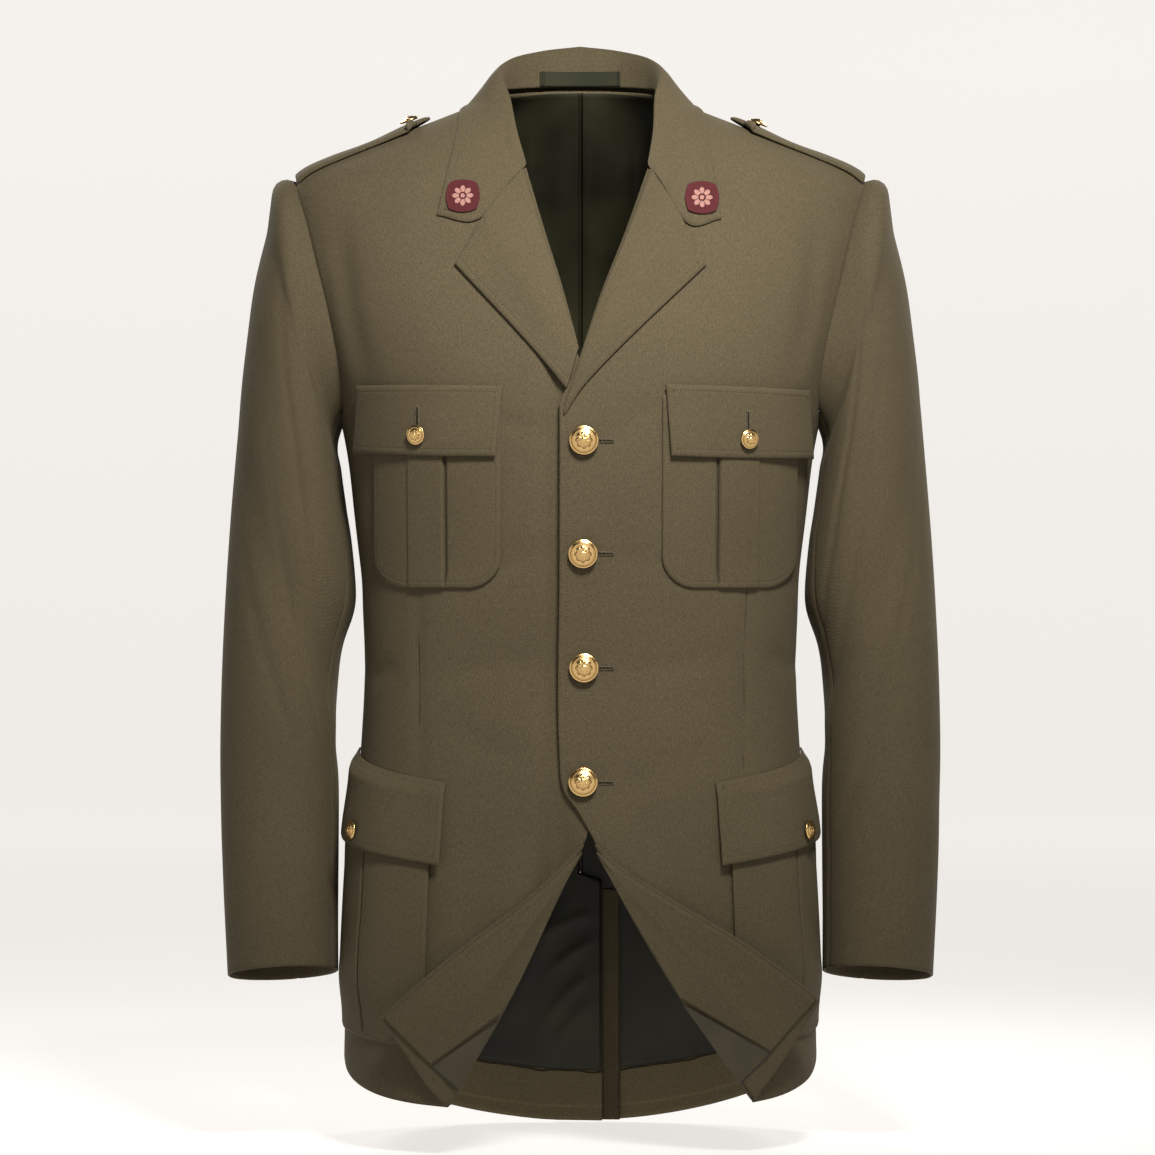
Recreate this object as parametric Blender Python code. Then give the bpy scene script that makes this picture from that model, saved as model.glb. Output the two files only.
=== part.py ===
"""Fire service dress jacket, filled out as if worn, as separate cut and sewn pieces.

Metres, +Z up. +X is the wearer's left, -Y is the front. The origin is at the foot of the neck, on the centre
plane and on the line of the shoulder seams: that is where the wearer's shoulders hold the jacket.

Every cloth piece is a thin wall. Its outer face is a grid of points on the worn shape, which is a stack of
rounded sections, or a little outside that shape for what lies on it. Its inner face is that grid moved in.
Both halves are modelled on the +X side, where x grows away from the centre, and the right one is mirrored.
"""

import math

import bmesh
import bpy
import numpy as np

# Thicknesses and gaps

CLOTH = 0.0018           # wool panels
THIN = 0.0010            # lining
TRIM = 0.0016            # pockets, flaps, lapels and folded-back corners
SEAM = 0.0002            # half of the gap at a seam
LYING = 0.0008           # gap below what lies on a panel
UNDERLAP = 0.0028        # how far inside the upper layer the under layer lies where two panels lap

# The worn shape: a section at each height

FORM_COLUMNS = ("height", "half_width", "front_depth", "back_depth", "squareness")
FORM_ROWS = (
    (-0.860, 0.1915, 0.139, 0.139, 2.35),
    (-0.780, 0.1905, 0.137, 0.138, 2.35),
    (-0.700, 0.1885, 0.134, 0.134, 2.35),
    (-0.630, 0.1855, 0.130, 0.128, 2.35),
    (-0.560, 0.1810, 0.124, 0.118, 2.35),
    (-0.500, 0.1760, 0.118, 0.107, 2.30),
    (-0.440, 0.1735, 0.116, 0.102, 2.30),
    (-0.380, 0.1765, 0.121, 0.108, 2.30),
    (-0.320, 0.1820, 0.128, 0.118, 2.35),
    (-0.270, 0.1880, 0.131, 0.125, 2.40),
    (-0.235, 0.1960, 0.131, 0.127, 2.40),
    (-0.200, 0.2090, 0.128, 0.126, 2.40),
    (-0.160, 0.2220, 0.119, 0.121, 2.40),
    (-0.120, 0.2310, 0.107, 0.111, 2.35),
    (-0.085, 0.2355, 0.092, 0.099, 2.30),
    (-0.062, 0.2345, 0.079, 0.089, 2.25),
    (-0.048, 0.2230, 0.070, 0.081, 2.20),
    (-0.035, 0.1955, 0.061, 0.073, 2.20),
    (-0.020, 0.1572, 0.051, 0.064, 2.20),
    (-0.005, 0.1188, 0.041, 0.055, 2.20),
    (0.006, 0.0906, 0.034, 0.049, 2.20),
    (0.016, 0.0650, 0.028, 0.044, 2.20),
    (0.026, 0.0500, 0.022, 0.040, 2.20),
    (0.045, 0.0420, 0.014, 0.036, 2.20),
)

# Hem height by the angle round the body: 0 is centre front, 90 the side and 180 centre back

HEM_ANGLES = (0, 30, 50, 70, 90, 110, 130, 147, 165, 180)
HEM_HEIGHTS = (-0.787, -0.786, -0.781, -0.769, -0.752, -0.764, -0.790, -0.808, -0.820, -0.823)

# Heights that many pieces share

BREAK = -0.236           # foot of the lapels
APEX = -0.573            # where the fronts part
UNDERARM = -0.245
TIP = -0.056             # outer end of the shoulder seam
NECK_SIDE = 0.016        # inner end of the shoulder seam
NECK_BACK = 0.024        # back neck seam at the centre
VENT_TOP = -0.620

LAP = 0.016              # how far the left front passes the centre
RIGHT_LAP = 0.012        # how far the right front passes it, below the left one
VENT_LAP = 0.020         # how far each back passes the centre in the vent
SIDE_SEAM = 96.0         # angle of the side seam below the armhole

SIDES = (("left", 1), ("right", -1))


def table(columns, rows):
    """A table's columns by name."""
    return dict(zip(columns, np.array(rows, float).T))


FORM = table(FORM_COLUMNS, FORM_ROWS)


def smooth(at, xs, ys):
    """Cubic curve through a table's points, xs rising. Its slope at a point is the mean of those beside it."""
    xs, ys, at = np.asarray(xs, float), np.asarray(ys, float), np.asarray(at, float)
    more = (1,) * (ys.ndim - 1)
    spans = np.diff(ys, axis=0) / np.diff(xs).reshape(-1, *more)
    slopes = np.concatenate([spans[:1], (spans[1:] + spans[:-1]) / 2, spans[-1:]])
    i = np.clip(np.searchsorted(xs, at) - 1, 0, len(xs) - 2)
    width = (xs[i + 1] - xs[i]).reshape(at.shape + more)
    s = np.clip((at - xs[i]) / (xs[i + 1] - xs[i]), 0, 1).reshape(at.shape + more)
    return (
        ys[i] * (1 + 2 * s) * (1 - s) ** 2
        + ys[i + 1] * s * s * (3 - 2 * s)
        + width * (slopes[i] * s * (1 - s) ** 2 - slopes[i + 1] * s * s * (1 - s))
    )


def step(at, low, high):
    """0 below low, 1 above high and a smooth rise between."""
    s = np.clip((np.asarray(at, float) - low) / (high - low), 0, 1)
    return s * s * (3 - 2 * s)


# The worn shape


def quarter(z):
    """About a quarter of the girth at height z."""
    half, front = (smooth(z, FORM["height"], FORM[c]) for c in ("half_width", "front_depth"))
    return math.pi / 2 * np.sqrt((half**2 + front**2) / 2)


def shape(angle, z):
    """Point of the worn shape: a rounded oval at height z, at an angle from centre front."""
    half, front, back, power = (smooth(z, FORM["height"], FORM[c]) for c in FORM_COLUMNS[1:])
    across, ahead = np.sin(np.radians(angle)), np.cos(np.radians(angle))
    swell = (np.abs(across) ** power + np.abs(ahead) ** power) ** (-1 / power)
    depth = np.where(ahead > 0, front, back)
    return np.stack([half * across * swell, -depth * ahead * swell, z + 0 * angle], -1)


def outward(angle, z):
    """Unit vector out of the worn shape."""
    turn, rise = 0.5, 0.0015
    around = shape(angle + turn, z) - shape(angle - turn, z)
    upward = shape(angle, z + rise) - shape(angle, z - rise)
    normal = np.cross(around, upward)
    return normal / np.linalg.norm(normal, axis=-1, keepdims=True)


def on_form(angle, z, out=0.0):
    """Point at a distance outside the worn shape."""
    angle, z = np.broadcast_arrays(np.asarray(angle, float), np.asarray(z, float))
    return shape(angle, z) + outward(angle, z) * np.broadcast_to(out, z.shape)[..., None]


def angle_at(x, z):
    """Angle, from centre front or centre back, of the point that a view from there shows at x and z."""
    half, power = (smooth(z, FORM["height"], FORM[c]) for c in ("half_width", "squareness"))
    ratio = np.clip(np.abs(x) / half, 0, 0.9999)
    return np.sign(x) * np.degrees(np.arctan2(ratio, (1 - ratio**power) ** (1 / power)))


def hem_height(angle):
    return smooth(np.abs(angle), HEM_ANGLES, HEM_HEIGHTS)


def distance(points):
    """About how far points lie outside the worn shape, and the unit vector out of it there."""

    def ratio(p):
        half, front, back, power = (smooth(p[..., 2], FORM["height"], FORM[c]) for c in FORM_COLUMNS[1:])
        depth = np.where(p[..., 1] < 0, front, back)
        return ((np.abs(p[..., 0]) / half) ** power + (np.abs(p[..., 1]) / depth) ** power) ** (1 / power)

    nudge = 0.0005
    slope = np.stack([(ratio(points + d) - ratio(points - d)) / (2 * nudge) for d in np.eye(3) * nudge], -1)
    steep = np.linalg.norm(slope, axis=-1)
    return (ratio(points) - 1) / steep, slope / steep[..., None]


def seat(points, out, press=True):
    """Moves points to a distance outside the worn shape. Without press, only those nearer than that move."""
    points = np.array(points, float)
    for _ in range(6):
        now, normal = distance(points)
        move = np.clip(out - now, -0.02, 0.02)
        points += normal * (move if press else np.maximum(move, 0))[..., None]
    return points


# Grids of points


def along(points, count):
    """count + 1 evenly spaced points of a smooth curve through a few points, in any number of coordinates."""
    points = np.asarray(points, float)
    knots = np.concatenate([[0], np.cumsum(np.linalg.norm(np.diff(points, axis=0), axis=1))])
    curve = smooth(np.linspace(0, knots[-1], 40 * count + 1), knots, points)
    run = np.concatenate([[0], np.cumsum(np.linalg.norm(np.diff(curve, axis=0), axis=1))])
    return np.stack([np.interp(np.linspace(0, run[-1], count + 1), run, c) for c in curve.T], -1)


def edge(*stretches):
    """One edge of a piece out of stretches, each given as its points and its number of cells."""
    parts = [along(points, count) for points, count in stretches]
    return np.concatenate([parts[0]] + [p[1:] for p in parts[1:]])


def fill(left, right, bottom, top):
    """Grid of points between four edges: left and right run up, bottom and top run from left to right."""
    v = np.linspace(0, 1, len(left))[:, None, None]
    u = np.linspace(0, 1, len(bottom))[None, :, None]
    sides = (1 - u) * left[:, None] + u * right[:, None]
    ends = (1 - v) * bottom[None] + v * top[None]
    corners = (1 - v) * ((1 - u) * left[0] + u * right[0]) + v * ((1 - u) * left[-1] + u * right[-1])
    return sides + ends - corners


def girth(angle, z):
    """Edge points as the distance round the body from its centre line, and the height."""
    angle, z = np.broadcast_arrays(np.asarray(angle, float), np.asarray(z, float))
    return np.stack([angle / 90 * quarter(z), z], -1)


def girth_at(x, z):
    """Edge points from where the front or back view shows them."""
    x, z = np.broadcast_arrays(np.asarray(x, float), np.asarray(z, float))
    return girth(angle_at(x, z), z)


def angles_of(grid):
    """Angles and heights of a grid of girth points."""
    return grid[..., 0] * 90 / quarter(grid[..., 1]), grid[..., 1]


def normals_of(grid):
    """Unit vectors square to a grid of points, on the side where rows run up and columns to the right."""
    normal = np.cross(np.gradient(grid, axis=1), np.gradient(grid, axis=0))
    return normal / np.linalg.norm(normal, axis=-1, keepdims=True)


# Materials and solids


def material(name, colour, roughness, metallic=0.0):
    made = bpy.data.materials.get(name) or bpy.data.materials.new(name)
    made.use_nodes = True
    made.diffuse_color = (*colour, 1)
    shader = made.node_tree.nodes["Principled BSDF"]
    shader.inputs["Base Color"].default_value = (*colour, 1)
    shader.inputs["Roughness"].default_value = roughness
    shader.inputs["Metallic"].default_value = metallic
    return made


def wool():
    return material("olive_wool", (0.115, 0.088, 0.050), 0.9)


def lining_cloth():
    return material("green_lining", (0.022, 0.032, 0.020), 0.45)


def gilt():
    return material("gilt_brass", (0.75, 0.44, 0.15), 0.25, 1.0)


def badge_cloth():
    return material("badge_red", (0.26, 0.03, 0.035), 0.8)


def solid(name, points, faces, cover, side=1):
    """One closed object from points and faces, mirrored for the right side."""
    mesh = bpy.data.meshes.new(name)
    mesh.from_pydata((points * (side, 1, 1)).tolist(), [], faces)
    form = bmesh.new()
    form.from_mesh(mesh)
    bmesh.ops.triangulate(form, faces=form.faces)
    bmesh.ops.recalc_face_normals(form, faces=form.faces)
    form.to_mesh(mesh)
    form.free()
    mesh.shade_smooth()
    mesh.set_sharp_from_angle(angle=math.radians(40))
    mesh.materials.append(cover)
    bpy.context.collection.objects.link(bpy.data.objects.new(name, mesh))


def wall(name, outer, inner, cover, side=1):
    """Cloth wall between two grids of the same size, closed along its rims."""
    rows, columns = outer.shape[:2]
    count = rows * columns
    index = np.arange(count).reshape(rows, columns)
    quads = np.stack([index[:-1, :-1], index[:-1, 1:], index[1:, 1:], index[1:, :-1]], -1).reshape(-1, 4)
    rim = np.concatenate([index[0], index[1:, -1], index[-1, -2::-1], index[-2:0:-1, 0]])
    after = np.roll(rim, -1)
    rims = np.stack([after, rim, rim + count, after + count], -1)
    faces = np.concatenate([quads, quads[:, ::-1] + count, rims]).tolist()
    solid(name, np.concatenate([outer.reshape(-1, 3), inner.reshape(-1, 3)]), faces, cover, side)


def layer(name, grid, out, thickness, cover, side=1):
    """Wall over a grid of girth points, whose outer face lies at a distance outside the worn shape."""
    angle, z = angles_of(grid)
    wall(name, on_form(angle, z, out), on_form(angle, z, np.asarray(out) - thickness), cover, side)


def turned(name, profile, place, axis, side):
    """Button: a profile of radius and height turned about an axis. Its two end points are on the axis."""
    profile = np.asarray(profile, float)
    turn = np.linspace(0, 2 * math.pi, BUTTON_SIDES, endpoint=False)
    axis = np.asarray(axis, float) / np.linalg.norm(axis)
    first = np.cross(axis, (0, 0.2, 1.0))
    first = first / np.linalg.norm(first)
    spokes = np.cos(turn)[:, None] * first + np.sin(turn)[:, None] * np.cross(axis, first)
    middle = profile[1:-1]
    rings = middle[:, 1, None, None] * axis + middle[:, 0, None, None] * spokes[None]
    points = np.concatenate([rings.reshape(-1, 3), [axis * profile[0, 1]], [axis * profile[-1, 1]]]) + place
    index = np.arange(len(middle) * BUTTON_SIDES).reshape(-1, BUTTON_SIDES)
    after = np.roll(index, -1, axis=1)
    faces = np.stack([index[:-1], after[:-1], after[1:], index[1:]], -1).reshape(-1, 4).tolist()
    faces += [[index.size, b, a] for a, b in zip(index[0].tolist(), after[0].tolist())]
    faces += [[index.size + 1, a, b] for a, b in zip(index[-1].tolist(), after[-1].tolist())]
    solid(name, points, faces, gilt(), side)


# Armhole and sleeves

ARMHOLE_FORWARD = 29.0   # degrees that the armhole's front lies ahead of the side
ARMHOLE_BACK = 27.0
ARMHOLE_ROUND = 0.6      # below 1 squares the armhole's top and bottom
CELLS_ARMHOLE = 7        # in each half of it, front and back


def armhole(turn):
    """Angle and height for a turn round the armhole: 0 is the shoulder tip, 90 the front."""
    turn = np.radians(turn)
    lean = np.where(np.sin(turn) > 0, ARMHOLE_FORWARD, -ARMHOLE_BACK)
    angle = 90 - lean * np.abs(np.sin(turn)) ** ARMHOLE_ROUND
    return angle, (TIP + UNDERARM) / 2 + (TIP - UNDERARM) / 2 * np.cos(turn)


def armhole_edge(turn):
    """Point on the straight stretches between the armhole's own points, which the fronts and backs share."""
    marks = np.linspace(-360, 720, 3 * 2 * CELLS_ARMHOLE + 1)
    points = on_form(*armhole(marks))
    return np.stack([np.interp(turn, marks, c) for c in points.T], -1)


# Each ring of the sleeve: its outer and inner points, half depth, middle and how far its front is raised
SLEEVE_COLUMNS = ("outer_x", "outer_z", "inner_x", "inner_z", "half_depth", "centre_y", "front_rise")
SLEEVE_ROWS = (
    (0.2430, -0.0605, 0.1950, -0.2620, 0.0620, 0.0000, 0.000),
    (0.2530, -0.0980, 0.1925, -0.2880, 0.0650, 0.0010, 0.000),
    (0.2620, -0.1350, 0.1890, -0.3150, 0.0675, 0.0020, 0.000),
    (0.2675, -0.1720, 0.1862, -0.3430, 0.0680, 0.0030, 0.000),
    (0.2740, -0.2260, 0.1890, -0.3850, 0.0665, 0.0040, 0.000),
    (0.2800, -0.3000, 0.1940, -0.4250, 0.0630, 0.0045, 0.000),
    (0.2855, -0.3800, 0.1950, -0.4720, 0.0590, 0.0040, 0.000),
    (0.2890, -0.4600, 0.1945, -0.5300, 0.0555, 0.0010, 0.001),
    (0.2895, -0.5400, 0.1945, -0.5950, 0.0525, -0.0050, 0.003),
    (0.2865, -0.6200, 0.1945, -0.6480, 0.0500, -0.0130, 0.006),
    (0.2825, -0.6910, 0.1940, -0.6860, 0.0485, -0.0210, 0.009),
)
SLEEVE_SQUARENESS = 2.15
CELLS_SLEEVE = 13
FRONT_SEAM, HIND_SEAM = 6 * 180 / CELLS_ARMHOLE, 10 * 180 / CELLS_ARMHOLE    # turns of the two sleeve seams
SLEEVE_GAP = 0.4         # half of the gap at those seams, in degrees of turn
TURN_STEP = 0.4          # turn to each side over which the sleeve's direction is taken
CAP_GAP = 0.0014         # gap between the sleeve and the armhole
ARMHOLE_MIDDLE = (0.2180, 0.0, -0.1480)

# Soft folds of the sleeve: where along it, which turn they centre on, their slope, width and depth
FOLD_COLUMNS = ("along", "turn", "slope", "width", "depth")
FOLD_ROWS = (
    (0.47, 140.0, 0.0011, 0.050, 0.0026),
    (0.56, 215.0, -0.0009, 0.045, 0.0028),
    (0.40, 60.0, 0.0013, 0.060, 0.0018),
)
FOLD_REACH = 55.0        # turn over which a fold fades, to each side


def sleeve_shape(turn, run):
    """Point of the sleeve at a turn round it and a run from 0, the armhole, to 1, the cuff."""
    ring = table(SLEEVE_COLUMNS, SLEEVE_ROWS)
    start = armhole_edge(turn) + (CAP_GAP, 0, 0)
    ahead, across = np.sin(np.radians(turn)), np.cos(np.radians(turn))
    power = SLEEVE_SQUARENESS
    swell = (np.abs(across) ** power + np.abs(ahead) ** power) ** (-1 / power)
    mid_x, half_x = (ring["outer_x"] + ring["inner_x"]) / 2, (ring["outer_x"] - ring["inner_x"]) / 2
    mid_z, half_z = (ring["outer_z"] + ring["inner_z"]) / 2, (ring["outer_z"] - ring["inner_z"]) / 2
    rings = np.stack([
        mid_x[:, None] + half_x[:, None] * across * swell,
        ring["centre_y"][:, None] - ring["half_depth"][:, None] * ahead * swell,
        mid_z[:, None] + half_z[:, None] * across * swell + ring["front_rise"][:, None] * ahead,
    ], -1)
    middle = np.stack([mid_x, ring["centre_y"], mid_z], -1)
    middle = np.concatenate([[ARMHOLE_MIDDLE], middle])
    knots = np.concatenate([[0], np.cumsum(np.linalg.norm(np.diff(middle, axis=0), axis=1))])
    grid = smooth(run * knots[-1], knots, np.concatenate([start[None], rings]))
    fold = table(FOLD_COLUMNS, FOLD_ROWS)
    dent = 0
    for i in range(len(FOLD_ROWS)):
        aside = (turn[None] - fold["turn"][i] + 180) % 360 - 180
        centre = fold["along"][i] + fold["slope"][i] * aside
        reach = np.exp(-((aside / FOLD_REACH) ** 2))
        dent = dent + fold["depth"][i] * reach * np.exp(-(((run[:, None] - centre) / fold["width"][i]) ** 2))
    return grid - normals_of(grid) * dent[..., None]


def sleeves():
    """Top sleeve and under sleeve of each side."""
    run = np.linspace(0, 1, CELLS_SLEEVE + 1)
    for name, side in SIDES:
        for piece, start, end, cells in (
            ("top", HIND_SEAM - 360 + SLEEVE_GAP, FRONT_SEAM - SLEEVE_GAP, 15),
            ("under", FRONT_SEAM + SLEEVE_GAP, HIND_SEAM - SLEEVE_GAP, 6),
        ):
            turn = np.linspace(start, end, cells + 1)
            outer = sleeve_shape(turn, run)
            turn[[0, -1]] += (-SLEEVE_GAP, SLEEVE_GAP)
            around = sleeve_shape(turn + TURN_STEP, run) - sleeve_shape(turn - TURN_STEP, run)
            downward = np.gradient(sleeve_shape(turn, run), axis=0)
            normal = np.cross(around, downward)
            normal = normal / np.linalg.norm(normal, axis=-1, keepdims=True)
            wall(f"sleeve_{piece}_{name}", outer, outer - normal * CLOTH, wool(), side)


# Fronts

# Where the front view shows the roll of each lapel, from its foot up to the neck
ROLL_Z = (BREAK, -0.190, -0.118, -0.0445, 0.002)
ROLL_X = {
    "left": (-0.0120, 0.0005, 0.0280, 0.0540, 0.0605),
    "right": (-0.0120, 0.0000, 0.0222, 0.0436, 0.0572),
}
ROLL_BACK = 0.0050       # the panel's edge lies this far behind the roll

# Fold of each folded-back corner, from the hem up to the apex
FOLD_LINE = {
    "left": ((0.1350, -0.7815), (0.0800, -0.7020), (0.0316, -0.6200), (0.0100, APEX - 0.002)),
    "right": ((0.1030, -0.7845), (0.0535, -0.6965), (0.0135, -0.6120), (-0.0040, APEX - 0.002)),
}
# Closing edge of each front, from the apex up to the foot of the lapel
CLOSING = {
    "left": (
        (0.0100, APEX - 0.002), (-0.0020, -0.5540), (-0.0130, -0.5380),
        (-LAP, -0.5100), (-LAP, -0.3700), (-LAP, BREAK),
    ),
    "right": (
        (-0.0040, APEX - 0.002), (-RIGHT_LAP, -0.5500), (-RIGHT_LAP, -0.4200), (-RIGHT_LAP, BREAK),
    ),
}
UNDER_X = (0.016, 0.040)                        # where the right front comes up to the worn shape again,
UNDER_Z = (BREAK + 0.030, BREAK + 0.100)        # outward and upward
CELLS_FOLD, CELLS_CLOSING, CELLS_FRONT = 6, 7, 9
SEAM_JOINT = -0.560      # height on the side seam that the grids' rows share
HEM_TOP = 0.0395         # height of the turned-up hem's top above the hem


def side_edge(behind):
    """Outer edge of a front or back: up the side seam, then up the armhole to the shoulder tip."""
    hem = hem_height(SIDE_SEAM)
    z = np.concatenate([
        [hem],
        np.linspace(hem + HEM_TOP, SEAM_JOINT, CELLS_FOLD),
        np.linspace(SEAM_JOINT, UNDERARM, CELLS_CLOSING + 1)[1:],
    ])
    angle = SIDE_SEAM + (90 - SIDE_SEAM) * step(z, -0.40, UNDERARM)
    arm_angle, arm_z = armhole(np.linspace(180, 360 if behind else 0, CELLS_ARMHOLE + 1))
    angle, z = np.concatenate([angle, arm_angle[1:]]), np.concatenate([z, arm_z[1:]])
    return girth(180 - angle if behind else angle, z) - (SEAM, 0)


def shoulder_edge():
    """The shoulder seam from the neck to the tip."""
    return edge((girth(90, np.linspace(NECK_SIDE, TIP, 9)), CELLS_FRONT)) - (2 * SEAM, 0)


def fronts():
    """The two fronts, each from its fold, closing edge and roll line to the side seam and armhole."""
    for name, side in SIDES:
        fold, closing = (girth_at(*np.array(line[name]).T) for line in (FOLD_LINE, CLOSING))
        roll = girth_at(np.array(ROLL_X[name]) + ROLL_BACK * np.array((0, 1, 1, 1, 1)), np.array(ROLL_Z))
        neck = girth(90, NECK_SIDE)
        roll = np.array([closing[-1], *roll[1:], neck])
        left = edge((fold, CELLS_FOLD), (closing, CELLS_CLOSING), (roll, CELLS_ARMHOLE))
        right = side_edge(behind=False)
        hem_angles = np.linspace(angle_at(*FOLD_LINE[name][0]), SIDE_SEAM, 7)
        bottom = edge((girth(hem_angles, hem_height(hem_angles)), CELLS_FRONT))
        bottom[0], bottom[-1] = left[0], right[0]
        top = shoulder_edge()
        top[-1], left[-1] = right[-1], top[0]
        grid = fill(left, right, bottom, top)
        angle, z = angles_of(grid)
        x = on_form(angle, z)[..., 0]
        under = UNDERLAP * (1 - step(x, *UNDER_X)) * (1 - step(z, *UNDER_Z)) * (side < 0)
        layer(f"front_{name}", grid, -under, CLOTH, wool(), side)


# Backs

CELLS_NECK = 3
BACK_UNDER = 0.0042      # how far inside the left back the right one lies in the vent
NECK_ANGLES = (0, 22, 45, 68, 90)


def back_grid(side):
    """Girth grid of a back from the centre seam and vent to the side, its angles counted from centre back."""
    lap = VENT_LAP if side > 0 else VENT_LAP - 0.002
    hem = hem_height(180)
    vent_z = np.concatenate([[hem], np.linspace(hem + HEM_TOP, VENT_TOP - 0.004, CELLS_FOLD - 1)])
    seam_z = np.linspace(VENT_TOP + 0.004, NECK_BACK, CELLS_CLOSING + CELLS_ARMHOLE + 1)
    left_z = np.concatenate([vent_z, seam_z])
    left = np.stack([np.where(left_z < VENT_TOP, girth_at(-lap, left_z)[:, 0], SEAM), left_z], -1)
    right = side_edge(behind=True)
    angles = np.linspace(0, 180 - SIDE_SEAM, 9)
    hem_line = girth(angles, hem_height(180 - angles))
    hem_line[0] = left[0]
    bottom = edge((hem_line, CELLS_NECK + CELLS_FRONT))
    bottom[-1] = right[0]
    neck_rise = (NECK_SIDE - NECK_BACK) * (np.array(NECK_ANGLES) / 90) ** 2
    neck = edge((girth(NECK_ANGLES, NECK_BACK + neck_rise), CELLS_NECK)) - (SEAM, 0)
    top = np.concatenate([neck[:-1], shoulder_edge()])
    top[0], top[-1] = left[-1], right[-1]
    return fill(left, right, bottom, top)


def back_under(x, z, side):
    """How far inside the worn shape a back lies: the right one goes below the left one's vent lap."""
    if side > 0:
        return 0 * x
    return BACK_UNDER * (1 - step(x, 0.022, 0.060)) * (1 - step(z, VENT_TOP - 0.01, VENT_TOP + 0.07))


def back_faces(grid, inside, thickness, side):
    """Outer and inner points over a back's girth grid, at a distance inside its outer face."""
    angle, z = angles_of(grid)
    out = -back_under(on_form(angle, z)[..., 0], z, side) - inside
    return on_form(180 - angle, z, out), on_form(180 - angle, z, out - thickness)


def backs():
    """The two backs."""
    for name, side in SIDES:
        wall(f"back_{name}", *back_faces(back_grid(side), 0, CLOTH, side), wool(), side)


# Lapels

LAPEL = {
    "left": {
        "outer": ((-0.0125, -0.2450), (0.0006, -0.2245), (0.0183, -0.2049), (0.0984, -0.1270)),
        "foot": ((-0.0120, BREAK), (-0.0125, -0.2450)),
        "notch": (0.0825, -0.0975),
    },
    "right": {
        "outer": ((0.0110, -0.2240), (0.0300, -0.2010), (0.0984, -0.1262)),
        "foot": ((0.0018, -0.1930), (0.0110, -0.2240)),
        "notch": (0.0792, -0.0940),
    },
}
CELLS_LAPEL, CELLS_GORGE, CELLS_POINT = 9, 4, 2
GORGE_Z = -0.0455
LAPEL_LIFT = 0.0012      # how much further out the lapel lies away from its roll
ROLL_CURL = 0.0016       # how far its inner edge curls in


def lapels():
    """The lapels lie on the fronts, and roll in behind their inner edge."""
    for name, side in SIDES:
        cut = LAPEL[name]
        roll_z = np.array([cut["foot"][0][1], -0.150, -0.100, GORGE_Z])
        roll_x = smooth(roll_z, ROLL_Z, ROLL_X[name])
        roll = np.stack([roll_x, roll_z], -1)
        roll[0] = cut["foot"][0]
        left = edge((roll, CELLS_LAPEL))
        right = edge((cut["outer"], CELLS_LAPEL))
        bottom = edge((cut["foot"], CELLS_GORGE + CELLS_POINT))
        top = edge(((roll[-1], cut["notch"]), CELLS_GORGE), ((cut["notch"], cut["outer"][-1]), CELLS_POINT))
        top[:CELLS_GORGE + 1, 1] -= 2 * SEAM
        left[-1] = top[0]
        grid = fill(left, right, bottom, top)
        across = np.linspace(0, 1, grid.shape[1])[None]
        upward = np.linspace(0, 1, grid.shape[0])[:, None]
        curl = ROLL_CURL * (1 - step(across, 0, 0.12)) * step(upward, 0, 0.4)
        out = LYING + TRIM + LAPEL_LIFT * step(across, 0, 0.3) - curl
        angle = angle_at(grid[..., 0], grid[..., 1])
        outer = on_form(angle, grid[..., 1], out)
        inner = on_form(angle, grid[..., 1], out - TRIM)
        wall(f"lapel_{name}", outer, inner, wool(), side)


# Collar: from the neck seam up inside the neck, over the fold and down outside to the leaf's edge

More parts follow.
